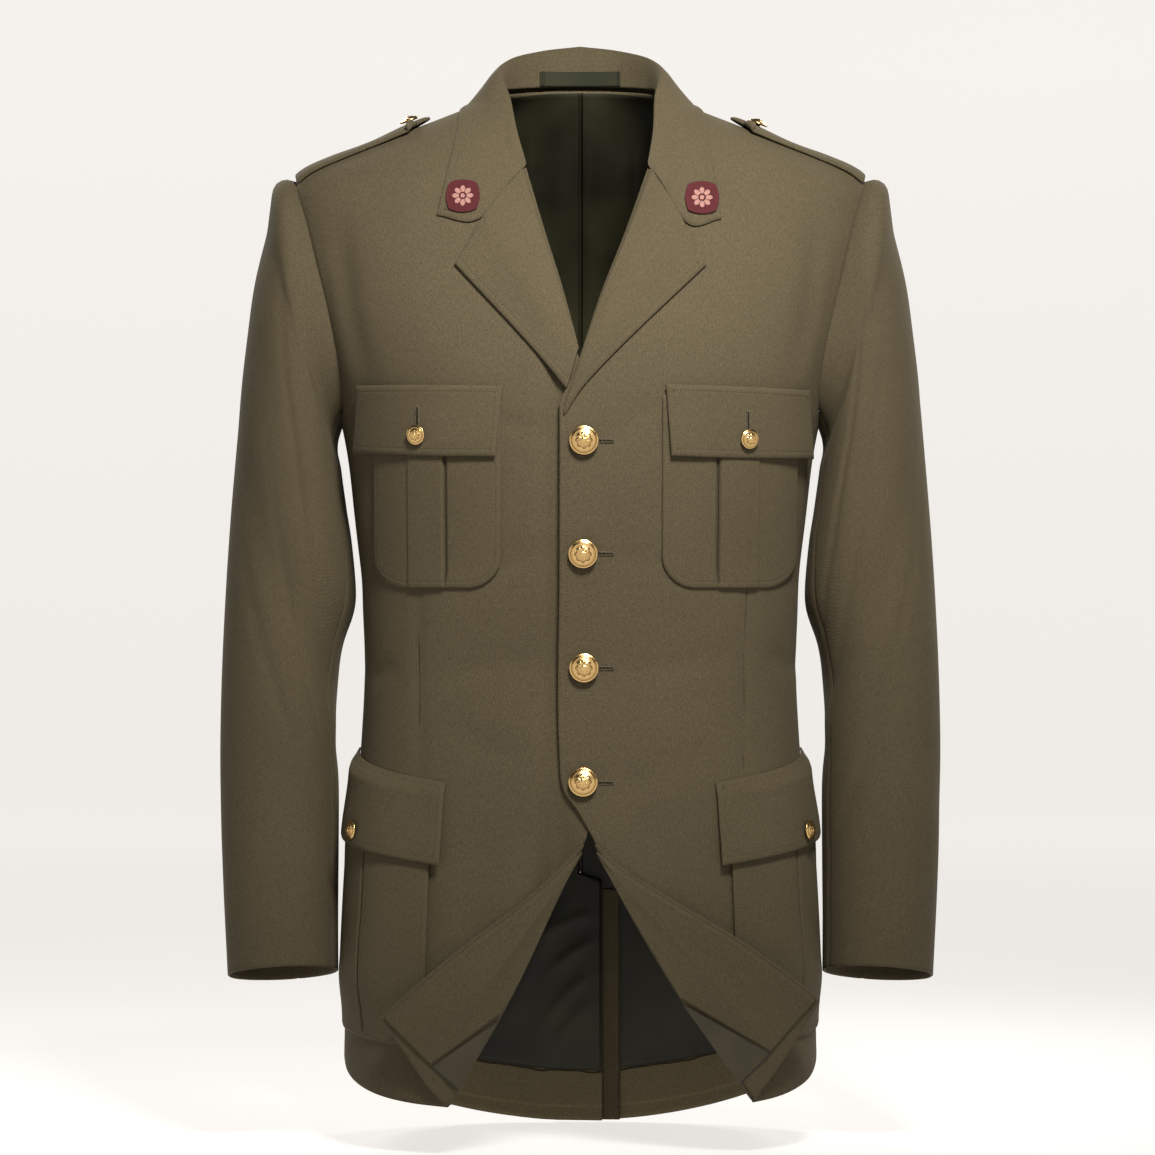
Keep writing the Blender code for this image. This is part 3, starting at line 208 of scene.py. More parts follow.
def seat(points, out, press=True):
    """Moves points to a distance outside the worn shape. Without press, only those nearer than that move."""
    points = np.array(points, float)
    for _ in range(6):
        now, normal = distance(points)
        move = np.clip(out - now, -0.02, 0.02)
        points += normal * (move if press else np.maximum(move, 0))[..., None]
    return points


# Grids of points


def shares(count, crowd=0.0):
    """count + 1 numbers from 0 to 1: even ones, mixed by crowd with ones that lie closer near both ends."""
    s = np.linspace(0, 1, count + 1)
    return (1 - crowd) * s + crowd * (0.5 - 0.5 * np.cos(math.pi * s))


def lengths(points, axis=0):
    """Running length of the steps between points along an axis, from 0."""
    return np.insert(np.cumsum(np.linalg.norm(np.diff(points, axis=axis), axis=-1), axis), 0, 0.0, axis)


def along(points, at):
    """Points at shares of the length of a smooth curve through a few points, in any number of coordinates."""
    points = np.asarray(points, float)
    knots = lengths(points)
    curve = smooth(np.linspace(0, knots[-1], 1200), knots, points)
    run = lengths(curve)
    return np.stack([np.interp(np.asarray(at) * run[-1], run, c) for c in curve.T], -1)


def edge(*stretches, crowd=0.0):
    """One edge of a piece out of stretches, each given as its points and its number of cells."""
    parts = [along(points, shares(count, crowd)) for points, count in stretches]
    return np.concatenate([parts[0]] + [p[1:] for p in parts[1:]])


def fill(left, right, bottom, top, u, v):
    """Grid between four edges, a Coons patch: blend of the sides plus blend of the ends less that of the corners."""
    u, v = np.asarray(u)[None, :, None], np.asarray(v)[:, None, None]
    sides = (1 - u) * left[:, None] + u * right[:, None]
    ends = (1 - v) * bottom[None] + v * top[None]
    corners = (1 - v) * ((1 - u) * left[0] + u * right[0]) + v * ((1 - u) * left[-1] + u * right[-1])
    return sides + ends - corners


def straight(first, last, at):
    """Points of a straight edge at shares of it."""
    return first + (last - first) * at[:, None]


def girth(angle, z):
    """Edge points as the distance round the body from its centre line, and the height."""
    angle, z = np.broadcast_arrays(np.asarray(angle, float), np.asarray(z, float))
    return np.stack([angle / 90 * quarter(z), z], -1)


def girth_at(x, z):
    """Edge points from where the front or back view shows them."""
    x, z = np.broadcast_arrays(np.asarray(x, float), np.asarray(z, float))
    return girth(angle_at(x, z), z)


def angles_of(grid):
    """Angles and heights of a grid of girth points."""
    return grid[..., 0] * 90 / quarter(grid[..., 1]), grid[..., 1]


def pressed_in(grid, apart, depth, width):
    """Grid sunk square to itself by depth times exp(-(d/width)^2) of the distance d from an edge or a line."""
    return grid - normals_of(grid) * (depth * bell(apart, 0, width))[..., None]


def normals_of(grid):
    """Unit vectors square to a grid: the cross product of its slopes along its columns and its rows."""
    normal = np.cross(np.gradient(grid, axis=1), np.gradient(grid, axis=0))
    return normal / np.linalg.norm(normal, axis=-1, keepdims=True)


def sides_of(grid, names):
    """The edges of a grid that are named."""
    lines = {"left": grid[:, 0], "right": grid[:, -1], "bottom": grid[0], "top": grid[-1]}
    return [lines[name] for name in names]


def reach_from(grid, lines):
    """Distance of a grid's points from the nearest of some lines of points, and how far along them that is."""
    flat = grid.reshape(-1, 3)
    best, run = np.full(len(flat), FAR), np.zeros(len(flat))
    start = 0.0
    for line in lines:
        steps = lengths(line)
        at = np.linspace(0, steps[-1], max(2, int(steps[-1] / 0.003)))
        dense = np.stack([np.interp(at, steps, c) for c in line.T], -1)
        a, b = dense[:-1], dense[1:]
        for i in range(0, len(flat), 4000):
            part = flat[i:i + 4000, None]
            share = np.clip(((part - a) * (b - a)).sum(-1) / ((b - a) ** 2).sum(-1), 0, 1)
            apart = np.linalg.norm(part - a - (b - a) * share[..., None], axis=-1)
            near = apart.argmin(1)
            rows = np.arange(len(near))
            closer = apart[rows, near] < best[i:i + 4000]
            where = start + at[near] + share[rows, near] * (at[1] - at[0])
            run[i:i + 4000] = np.where(closer, where, run[i:i + 4000])
            best[i:i + 4000] = np.where(closer, apart[rows, near], best[i:i + 4000])
        start += steps[-1]
    return best.reshape(grid.shape[:2]), run.reshape(grid.shape[:2])


def creases(x, z, rows):
    """Depth of soft troughs at x and z, one for each row of a table: x and z of its first point and its second, bow,
    width and depth. A trough follows the line between its points, bowed aside in its middle. Its depth falls off
    aside as exp(-(d/width)^2) and fades towards both ends. A depth below 0 makes a ridge."""
    depth = np.zeros(np.shape(x))
    for x0, z0, x1, z1, bow, width, deep in rows:
        length = math.hypot(x1 - x0, z1 - z0)
        ahead, aside = (x1 - x0) / length, (z1 - z0) / length
        run = ((x - x0) * ahead + (z - z0) * aside) / length
        off = -(x - x0) * aside + (z - z0) * ahead - bow * 4 * np.clip(run, 0, 1) * (1 - np.clip(run, 0, 1))
        fade = step(run, -0.15, 0.3) * (1 - step(run, 0.6, 1.15))
        depth += deep * fade * bell(off, 0, width)
    return depth


# Meshes


def make_mesh(name, points, faces, materials, uv=None, facts=None, slots=None):
    """Object with a smooth mesh of points and faces, its cloth map in metres and its attributes."""
    mesh = bpy.data.meshes.new(name)
    mesh.from_pydata(np.asarray(points, float).tolist(), [], faces)
    corner = np.empty(len(mesh.loops), np.int32)
    mesh.loops.foreach_get("vertex_index", corner)
    if uv is not None:
        mesh.uv_layers.new(name="cloth").data.foreach_set("uv", np.asarray(uv, np.float32)[corner].ravel())
    for key, values in (facts or {}).items():
        mesh.attributes.new(key, "FLOAT", "POINT").data.foreach_set("value", np.asarray(values, np.float32))
    for entry in materials:
        mesh.materials.append(entry)
    if slots is not None:
        mesh.polygons.foreach_set("material_index", np.asarray(slots, np.int32))
    mesh.shade_smooth()
    mesh.update()
    made = bpy.data.objects.new(name, mesh)
    bpy.context.collection.objects.link(made)
    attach(made, "root")
    return made


def flat_map(grid):
    """Distances across and up a grid, in metres: running sums of its steps along its rows and its columns."""
    return np.stack([lengths(grid, 1), lengths(grid)], -1)


def cloth(name, outer, thickness, materials, side=1, stitch=None, run=None, seam=None, back=0, bias=0.0, chart=None):
    """Closed cloth piece: a grid, the same grid moved in by its thickness, and a rim rounded over a middle ring.

    stitch is the distance from the stitch line and run the way along it, seam the distance from a seam or slit.
    back is the material slot of the inner side. bias turns the weave, in degrees, and chart is its own map."""
    rows, columns = outer.shape[:2]
    normal = normals_of(outer)
    inner = outer - normal * thickness
    count = rows * columns
    index = np.arange(count).reshape(rows, columns)
    quads = np.stack([index[:-1, :-1], index[:-1, 1:], index[1:, 1:], index[1:, :-1]], -1).reshape(-1, 4)
    rim = np.concatenate([index[0], index[1:, -1], index[-1, -2::-1], index[-2:0:-1, 0]])
    flat, low = outer.reshape(-1, 3), inner.reshape(-1, 3)
    ring_way = np.roll(flat[rim], -1, axis=0) - np.roll(flat[rim], 1, axis=0)
    aside = np.cross(ring_way, normal.reshape(-1, 3)[rim])
    aside /= np.linalg.norm(aside, axis=1, keepdims=True) + 1e-12
    middle = (flat[rim] + low[rim]) / 2 + aside * thickness * 0.35
    ring = 2 * count + np.arange(len(rim))
    after, ring_after = np.roll(rim, -1), np.roll(ring, -1)
    faces = np.concatenate([
        quads, quads[:, ::-1] + count,
        np.stack([after, rim, ring, ring_after], -1), np.stack([ring_after, ring, rim + count, after + count], -1),
    ])
    slots = np.zeros(len(faces), int)
    slots[len(quads):2 * len(quads)] = back
    points = np.concatenate([flat, low, middle])
    chart = (flat_map(outer) if chart is None else chart).reshape(-1, 2)
    turn = math.radians(bias)
    chart = chart @ np.array([[math.cos(turn), math.sin(turn)], [-math.sin(turn), math.cos(turn)]])
    facts = {}
    for key, values in (("stitch", stitch), ("run", run), ("seam", seam)):
        top = (np.full((rows, columns), FAR) if values is None else values).reshape(-1)
        facts[key] = np.concatenate([top, np.full(count, FAR), top[rim]])
    if side < 0:
        points = points * (-1, 1, 1)
        faces = faces[:, ::-1]
    uv = np.concatenate([chart, chart, chart[rim]])
    return make_mesh(name, points, faces.tolist(), materials, uv, facts, slots)


def replace(nodes):
    """Hides the solids that a piece stands for."""
    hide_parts(*nodes)


def sew_on(piece, name, side, outer, lines, sunk, margin, slit=None, bias=0.0):
    """A wool piece that lies on another. It is rounded near some lines, by a depth and a width, and stitched at a
    margin inside them. slit is the column of a pleat's gap, which is darkened like a seam: painted shade in the gap."""
    apart, run = reach_from(outer, lines)
    outer = pressed_in(outer, apart, *sunk)
    # The pleat's column is passed on as a seam, so the wool darkens along it: painted shade in the pleat's gap.
    seam = None if slit is None else reach_from(outer, [outer[3:, slit]])[0]
    made = cloth(f"{piece}_{name}_cloth", outer, TRIM, [finish_of("wool")], side, apart - margin, run, seam,
                 bias=bias)
    replace([f"{piece}_{name}"])


def linear(code):
    """Linear colour of an sRGB hex code: ((c + 0.055) / 1.055)^2.4 above 0.04045, and c / 12.92 below it."""
    parts = [int(code[i:i + 2], 16) / 255 for i in (1, 3, 5)]
    return (*[((c + 0.055) / 1.055) ** 2.4 if c > 0.04045 else c / 12.92 for c in parts], 1.0)


# Finishes

TWILL_TURN, TWILL_PITCH = 28, 0.00135        # degrees that the wool's ribs are turned by, and metres from rib to rib
STITCH_PITCH = 0.0029
HEM_PAINTED_LIGHT = 1.8          # painted light: the wool made 1.8 times lighter inside the skirt, where the body shades it


def add(tree, kind, inputs=None, **settings):
    """Adds a shader node with its settings, and links or sets its inputs."""
    node = tree.nodes.new(kind)
    for key, value in settings.items():
        setattr(node, key, value)
    for key, value in (inputs or {}).items():
        if isinstance(value, bpy.types.NodeSocket):
            tree.links.new(value, node.inputs[key])
        else:
            node.inputs[key].default_value = value
    return node


def start(name, roughness, **shader):
    """New material with its shader, whose own sockets hold the numbers that are the same all over."""
    made = bpy.data.materials.new(name)
    made.use_nodes = True
    tree = made.node_tree
    principled = tree.nodes["Principled BSDF"]
    principled.inputs["Roughness"].default_value = roughness
    for key, value in shader.items():
        principled.inputs[key.replace("_", " ")].default_value = value
    return made, tree, principled


def band(tree, value, half, soft):
    """1 where a value is within half of 0, and 0 beyond half plus soft."""
    size = add(tree, "ShaderNodeMath", {0: value}, operation="ABSOLUTE").outputs[0]
    shaped = {"Value": size, "From Min": half, "From Max": half + soft, "To Min": 1.0, "To Max": 0.0}
    return add(tree, "ShaderNodeMapRange", shaped, interpolation_type="SMOOTHSTEP").outputs["Result"]


def fact(tree, name):
    """A number that the mesh holds at its points."""
    return add(tree, "ShaderNodeAttribute", attribute_name=name).outputs["Fac"]


def wave(tree, value, pitch):
    """Sine of a distance, one wave to each pitch."""
    turns = times(tree, value, 2 * math.pi / pitch)
    return add(tree, "ShaderNodeMath", {0: turns}, operation="SINE").outputs[0]


def mixed(tree, share, first, second, kind="MIX"):
    """Second colour over the first by a share."""
    node = add(tree, "ShaderNodeMix", data_type="RGBA", blend_type=kind)
    for socket, value in ((node.inputs[0], share), (node.inputs[6], first), (node.inputs[7], second)):
        if isinstance(value, bpy.types.NodeSocket):
            tree.links.new(value, socket)
        else:
            socket.default_value = value
    return node.outputs[2]


def noise(tree, where, scale, detail=2.0, rough=0.5):
    """Soft noise with scale waves to each metre."""
    made = add(tree, "ShaderNodeTexNoise", {"Vector": where, "Scale": scale, "Detail": detail, "Roughness": rough})
    return made.outputs["Fac"]


def ranged(tree, value, low, high, to_low=0.0, to_high=1.0):
    """A value's range taken to another one, and held at its ends."""
    shaped = {"Value": value, "From Min": low, "From Max": high, "To Min": to_low, "To Max": to_high}
    return add(tree, "ShaderNodeMapRange", shaped).outputs["Result"]


def times(tree, first, second):
    """Product of two values."""
    return add(tree, "ShaderNodeMath", {0: first, 1: second}, operation="MULTIPLY").outputs[0]


def object_point(tree):
    """Object coordinates."""
    return add(tree, "ShaderNodeTexCoord").outputs["Object"]


def cloth_map(tree):
    """The cloth's own map, in metres across and along its threads."""
    return add(tree, "ShaderNodeUVMap", uv_map="cloth").outputs["UV"]


def drawn_noise(tree, across, along_it):
    """Noise drawn out along a cloth's threads, with so many waves to each metre across and along them."""
    drawn = add(tree, "ShaderNodeMapping", {"Vector": cloth_map(tree), "Scale": (across, along_it, 1.0)}).outputs[0]
    return noise(tree, drawn, 1.0, 1.0)


def shade(colour, share):
    """A colour times a share."""
    return tuple(share * c for c in colour[:3]) + (1.0,)


def relief(tree, shader, *parts, strength=1.0):
    """Bumps a shader by the sum of some heights."""
    bump = add(tree, "ShaderNodeBump", {"Height": total(tree, *parts), "Distance": 1.0, "Strength": strength})
    tree.links.new(bump.outputs[0], shader.inputs["Normal"])


def total(tree, *parts):
    """Sum of heights, each given as its socket and its size in metres."""
    result = None
    for socket, size in parts:
        node = add(tree, "ShaderNodeMath", {0: socket, 1: size}, operation="MULTIPLY_ADD")
        if result is None:
            node.inputs[2].default_value = 0.0
        else:
            tree.links.new(result, node.inputs[2])
        result = node.outputs[0]
    return result


def wool_finish(name, colours, painted_light=1.0):
    """Worsted wool twill. The eye gets a matt cloth with a fine grain of lighter and darker yarns, faint diagonal
    ribs, a soft uneven tone over some centimetres, darker seams, and lines of sunk stitches with painted shade in
    their groove. The seams' darkening also paints shade in the pockets' pleat gaps. The last argument multiplies
    its colours: a lighter copy of the wool, painted light for cloth that lies in the skirt's shade."""
    made, tree, shader = start(name, 0.86, Sheen_Weight=0.05, Sheen_Roughness=0.5, Specular_IOR_Level=0.18)
    shader.inputs["Sheen Tint"].default_value = tuple(colours.wool_sheen)
    where = object_point(tree)
    turned = add(tree, "ShaderNodeVectorRotate", {"Vector": cloth_map(tree), "Angle": math.radians(TWILL_TURN)},
                 rotation_type="Z_AXIS").outputs[0]
    ribs = wave(tree, add(tree, "ShaderNodeSeparateXYZ", {0: turned}).outputs[0], TWILL_PITCH)
    grain = noise(tree, where, 1150.0, 1.0, 0.6)
    slub = drawn_noise(tree, 900.0, 260.0)
    patches = noise(tree, where, 9.0, 3.0, 0.55)
    base, light, dark = (shade(getattr(colours, key), painted_light) for key in ("wool", "wool_light", "wool_dark"))
    colour = mixed(tree, 0.50, base, mixed(tree, ranged(tree, grain, 0.30, 0.70), dark, light))
    for uneven in (ranged(tree, slub, 0.35, 0.75, 0.90, 1.10), ranged(tree, patches, 0.3, 0.7, 0.94, 1.06)):
        grey = add(tree, "ShaderNodeCombineColor", {i: uneven for i in range(3)}).outputs[0]
        colour = mixed(tree, 1.0, colour, grey, "MULTIPLY")
    seams = band(tree, fact(tree, "seam"), 0.0003, 0.0011)
    line = band(tree, fact(tree, "stitch"), 0.00030, 0.00030)
    # The band beside each stitch line is darkened: painted shade in the groove that the stitches pull in.
    ditch_shade = band(tree, fact(tree, "stitch"), 0.0, 0.0012)
    stitches = times(tree, line, ranged(tree, wave(tree, fact(tree, "run"), STITCH_PITCH), -0.55, -0.25))
    for mark, share, tone in ((seams, 0.55, "wool_seam_and_shade"), (ditch_shade, 0.20, "wool_seam_and_shade"), (stitches, 0.75, "thread")):
        colour = mixed(tree, times(tree, mark, share), colour, tuple(getattr(colours, tone)))
    tree.links.new(colour, shader.inputs["Base Color"])
    relief(tree, shader, (ribs, 0.00004), (grain, 0.00020), (slub, 0.00010), (seams, -0.0009), (ditch_shade, -0.0003),
           (stitches, 0.0002))
    return made


def satin_finish(name, colour, dark, roughness=0.46):
    """Satin lining. The eye gets a smooth cloth with a broad soft shine along its warp and fine threads across."""
    made, tree, shader = start(name, roughness, Specular_IOR_Level=0.20, Anisotropic=0.35)
    threads = drawn_noise(tree, 1600.0, 120.0)
    tone = ranged(tree, noise(tree, object_point(tree), 14.0), 0.3, 0.7)
    seams = band(tree, fact(tree, "seam"), 0.0004, 0.0012)
    colour = mixed(tree, times(tree, seams, 0.6), mixed(tree, tone, tuple(dark), tuple(colour)), shade(dark, 0.4))
    tree.links.new(colour, shader.inputs["Base Color"])
    relief(tree, shader, (threads, 0.00005), (seams, -0.0007))
    return made


def gilt_finish(name, colours):
    """Struck gilt metal. The eye gets bright gold relief, darker and browner in its hollows, with faint wear. The
    same darker gilt on the button's back and round its edge is painted shade.
    """
    made, tree, shader = start(name, 0.24, Metallic=1.0)
    wear = noise(tree, object_point(tree), 900.0, 3.0, 0.6)
    colour = mixed(tree, fact(tree, "hollow"), tuple(colours.gilt), tuple(colours.gilt_dark))
    colour = mixed(tree, ranged(tree, wear, 0.35, 0.75, 0.0, 0.25), colour, tuple(colours.gilt_dark))
    tree.links.new(colour, shader.inputs["Base Color"])
    tree.links.new(ranged(tree, wear, 0.3, 0.7, 0.17, 0.34), shader.inputs["Roughness"])
    relief(tree, shader, (wear, 0.00006), strength=0.6)
    return made


def badge_finish(name, colours):
    """Red felt patch with a sewn rosette. The eye gets a dark red ground, raised pale petals and a corded border.
    The petals are where the distance from the middle is under a wave of the direction."""
    made, tree, shader = start(name, 0.82, Sheen_Weight=0.06, Sheen_Roughness=0.5, Specular_IOR_Level=0.2)
    felt = noise(tree, object_point(tree), 1300.0, 2.0, 0.6)
    ground = mixed(tree, felt, tuple(colours.badge_dark), tuple(colours.badge))
    light = mixed(tree, felt, tuple(colours.badge_thread), tuple(colours.badge_light))
    shown = ranged(tree, fact(tree, "sewn"), 0.35, 0.65)
    tree.links.new(mixed(tree, shown, ground, light), shader.inputs["Base Color"])
    ribs = times(tree, wave(tree, fact(tree, "rays"), 0.00075), shown)
    relief(tree, shader, (felt, 0.0002), (shown, 0.0004), (ribs, 0.00012))
    return made


def slit_shade_finish(name, colours):
    """Painted shade in a buttonhole's slit. The eye gets a dark line where the cut lies in shadow."""
    made, tree, shader = start(name, 0.95, Specular_IOR_Level=0.05)
    fibres = noise(tree, object_point(tree), 1500.0, 2.0, 0.6)
    colour = mixed(tree, fibres, shade(colours.wool_seam_and_shade, 0.5), tuple(colours.wool_seam_and_shade))
    tree.links.new(colour, shader.inputs["Base Color"])
    return made


def thread_finish(name, colours):
    """Twisted buttonhole thread. The eye gets dull darker loops with a fine grain."""
    made, tree, shader = start(name, 0.75, Sheen_Weight=0.2, Specular_IOR_Level=0.3)
    fibres = noise(tree, object_point(tree), 1800.0, 2.0, 0.6)
    tree.links.new(mixed(tree, fibres, tuple(colours.thread), tuple(colours.wool_seam_and_shade)), shader.inputs["Base Color"])
    relief(tree, shader, (fibres, 0.0001))
    return made


def finish_of(key):
    """The material of a kind, made once and used again."""
    colours = bpy.context.scene.jacket_colours
    names = {
        "wool": ("wool_twill_woven", lambda n: wool_finish(n, colours)),
        # A lighter copy of the wool: painted light for the backs' inner face and the turned-up hems.
        "hem": ("wool_wrong_side_woven", lambda n: wool_finish(n, colours, HEM_PAINTED_LIGHT)),
        "lining": ("satin_lining_woven", lambda n: satin_finish(n, colours.lining, colours.lining_dark)),
        "facing": ("satin_facing_woven", lambda n: satin_finish(n, colours.facing, colours.facing_dark)),
        "loop": ("satin_loop_woven", lambda n: satin_finish(n, colours.loop, colours.lining, 0.85)),
        "gilt": ("gilt_brass_struck", lambda n: gilt_finish(n, colours)),
        "badge": ("red_felt_sewn", lambda n: badge_finish(n, colours)),
        "thread": ("buttonhole_thread_twisted", lambda n: thread_finish(n, colours)),
        # A dark tube of painted shade for each buttonhole's slit.
        "slit": ("buttonhole_slit_cut", lambda n: slit_shade_finish(n, colours)),
    }
    name, build = names[key]
    return bpy.data.materials.get(name) or build(name)


# Armhole and sleeves

ARMHOLE_FORWARD, ARMHOLE_BACK = 29.0, 27.0   # degrees that it reaches ahead of and behind the side
ARMHOLE_ROUND = 0.6
FRONT_SEAM, HIND_SEAM = 154.29, 257.14       # turns of the two sleeve seams
SLEEVE_GAP = 0.15        # degrees that each half keeps clear of those seams
CAP_TUCK = 0.0034        # how far the sleeve's edge is turned in below the panels' edge
SLEEVE_SQUARENESS = 2.15
CAP_FULL, CAP_SUNK = 0.0062, 0.0016          # swell of the sleeve's head, and how far its seam draws it in
UNDER_FULL = 0.0085      # how far the under sleeve's fullness comes out towards the body
ARMHOLE_MIDDLE = (0.2180, 0.0, -0.1480)

# Each ring of the sleeve: its outer and inner points, half depth, middle and how far its front is raised
SLEEVE_COLUMNS = ("outer_x", "outer_z", "inner_x", "inner_z", "half_depth", "centre_y", "front_rise")
SLEEVE_ROWS = (
    (0.2430, -0.0605, 0.1950, -0.2620, 0.0620, 0.0000, 0.000),
    (0.2530, -0.0980, 0.1925, -0.2880, 0.0650, 0.0010, 0.000),
    (0.2620, -0.1350, 0.1890, -0.3150, 0.0675, 0.0020, 0.000),
    (0.2675, -0.1720, 0.1862, -0.3430, 0.0680, 0.0030, 0.000),
    (0.2740, -0.2260, 0.1890, -0.3850, 0.0665, 0.0040, 0.000),
    (0.2800, -0.3000, 0.1940, -0.4250, 0.0630, 0.0045, 0.000),
    (0.2855, -0.3800, 0.1950, -0.4720, 0.0590, 0.0040, 0.000),
    (0.2890, -0.4600, 0.1945, -0.5300, 0.0555, 0.0010, 0.001),
    (0.2895, -0.5400, 0.1945, -0.5950, 0.0525, -0.0050, 0.003),
    (0.2865, -0.6200, 0.1945, -0.6480, 0.0500, -0.0130, 0.006),
    (0.2825, -0.6910, 0.1940, -0.6860, 0.0485, -0.0210, 0.009),
)

# Troughs on the sleeves: where along it, the turn they centre on, slope, half width along, reach round, and depth
FOLD_COLUMNS = ("along", "turn", "slope", "width", "reach", "depth")
BOTH_FOLDS = (
    (0.47, 140.0, 0.0011, 0.050, 55.0, 0.0030),
    (0.56, 215.0, -0.0009, 0.045, 55.0, 0.0032),
    (0.40, 60.0, 0.0013, 0.060, 55.0, 0.0018),
)
SLEEVE_FOLDS = {
    "left": (
        *BOTH_FOLDS,
        (0.53, 75.0, 0.0034, 0.026, 48.0, 0.0017),
        (0.64, 95.0, 0.0026, 0.034, 52.0, 0.0014),
        (0.32, 108.0, 0.0040, 0.028, 40.0, 0.0016),
        (0.20, 118.0, 0.0052, 0.024, 34.0, 0.0018),
        (0.74, 40.0, -0.0016, 0.045, 50.0, 0.0010),
        (0.36, 300.0, -0.0020, 0.040, 45.0, 0.0014),
    ),
    "right": (
        *BOTH_FOLDS,
        (0.58, 88.0, 0.0030, 0.028, 50.0, 0.0016),
        (0.49, 112.0, 0.0044, 0.022, 40.0, 0.0015),
        (0.27, 102.0, 0.0046, 0.026, 38.0, 0.0018),
        (0.70, 70.0, -0.0014, 0.040, 48.0, 0.0010),
        (0.38, 305.0, -0.0024, 0.038, 45.0, 0.0013),
    ),
}


def armhole(turn):
    """Angle and height for a turn round the armhole: 0 is the shoulder tip, 90 the front."""
    turn = np.radians(turn)
    lean = np.where(np.sin(turn) > 0, ARMHOLE_FORWARD, -ARMHOLE_BACK)
    angle = 90 - lean * np.abs(np.sin(turn)) ** ARMHOLE_ROUND
    return angle, (TIP + UNDERARM) / 2 + (TIP - UNDERARM) / 2 * np.cos(turn)


def sleeve_shape(turn, run, name):
    """Point of the sleeve at a turn round it and a run from the armhole, 0, to the cuff, 1: smooth curves through
    the armhole's point and the rounded rings of the table, less its troughs."""
    ring = table(SLEEVE_COLUMNS, SLEEVE_ROWS)
    begin = on_form(*armhole(turn)) - (CAP_TUCK, 0, 0)
    ahead, across = np.sin(np.radians(turn)), np.cos(np.radians(turn))
    power = SLEEVE_SQUARENESS
    swell = (np.abs(across) ** power + np.abs(ahead) ** power) ** (-1 / power)
    mid_x, half_x = (ring["outer_x"] + ring["inner_x"]) / 2, (ring["outer_x"] - ring["inner_x"]) / 2
    mid_z, half_z = (ring["outer_z"] + ring["inner_z"]) / 2, (ring["outer_z"] - ring["inner_z"]) / 2
    rings = np.stack([
        mid_x[:, None] + half_x[:, None] * across * swell,
        ring["centre_y"][:, None] - ring["half_depth"][:, None] * ahead * swell,
        mid_z[:, None] + half_z[:, None] * across * swell + ring["front_rise"][:, None] * ahead,
    ], -1)
    middle = np.concatenate([[ARMHOLE_MIDDLE], np.stack([mid_x, ring["centre_y"], mid_z], -1)])
    knots = lengths(middle)
    grid = smooth(run * knots[-1], knots, np.concatenate([begin[None], rings]))
    fold = table(FOLD_COLUMNS, SLEEVE_FOLDS[name])
    dent = 0.0
    for i in range(len(fold["along"])):
        aside = (turn[None] - fold["turn"][i] + 180) % 360 - 180
        centre = fold["along"][i] + fold["slope"][i] * aside
        far = bell(aside, 0, fold["reach"][i])
        dent = dent + fold["depth"][i] * far * bell(run[:, None], centre, fold["width"][i])
    top = np.maximum(0, np.cos(np.radians(turn)))[None]
    cap = CAP_FULL * bell(run[:, None], 0.014, 0.020) * top**1.5
    sunk = CAP_SUNK * bell(run[:, None], 0, 0.008)
    inner = np.maximum(0, -np.cos(np.radians(turn)))[None]
    full = UNDER_FULL * bell(run[:, None], 0.31, 0.085) * inner**2
    return grid - normals_of(grid) * (dent + sunk - cap - full)[..., None]


def seam_roll(grid, sides, depth=0.0007, width=0.0022):
    """How far a piece sinks near some of its edges: depth times exp(-(d/width)^2) of the distance to them."""
    apart, _ = reach_from(grid, sides_of(grid, sides))
    return depth * bell(apart, 0, width)


def build_sleeves(sizes):
    """Top and under sleeves. Their weave runs along the arm."""
    run = shares(126, 0.35)
    for name, side in SIDES:
        for piece, begin, end, cells, flat, area in (
            ("top", HIND_SEAM - 360 + SLEEVE_GAP, FRONT_SEAM - SLEEVE_GAP, 84, (0.285, 0.655), 0.155),
            ("under", FRONT_SEAM + SLEEVE_GAP, HIND_SEAM - SLEEVE_GAP, 36, (0.130, 0.540), 0.0540),
        ):
            turn = begin + (end - begin) * shares(cells, 0.5)
            outer = sleeve_shape(turn, run, name)
            outer = outer - normals_of(outer) * seam_roll(outer, ("left", "right"), 0.0009)[..., None]
            made = cloth(f"sleeve_{piece}_{name}_cloth", outer, sizes.wool, [finish_of("wool")], side, bias=90)
            replace([f"sleeve_{piece}_{name}"])


# Fronts

ROLL_Z = (BREAK, -0.190, -0.118, -0.0445, 0.002)
ROLL_X = {
    "left": (-0.0120, 0.0005, 0.0280, 0.0540, 0.0605),
    "right": (-0.0120, 0.0000, 0.0222, 0.0436, 0.0572),
}
ROLL_BACK = 0.0050       # the panel's edge lies this far behind the roll
FOLD_LINE = {
    "left": ((0.1350, -0.7815), (0.0800, -0.7020), (0.0316, -0.6200), (0.0100, APEX - 0.002)),
    "right": ((0.1030, -0.7845), (0.0535, -0.6965), (0.0135, -0.6120), (-0.0040, APEX - 0.002)),
}
CLOSING = {
    "left": (
        (0.0100, APEX - 0.002), (-0.0020, -0.5540), (-0.0130, -0.5380),
        (-LAP, -0.5100), (-LAP, -0.3700), (-LAP, BREAK),
    ),
    "right": (
        (-0.0040, APEX - 0.002), (-RIGHT_LAP, -0.5500), (-RIGHT_LAP, -0.4200), (-RIGHT_LAP, BREAK),
    ),
}
SEAM_JOINT = -0.560      # height at which the side seam's points change their spacing
CELLS_FOLD, CELLS_CLOSING, CELLS_ARMHOLE, CELLS_FRONT = 54, 84, 56, 80

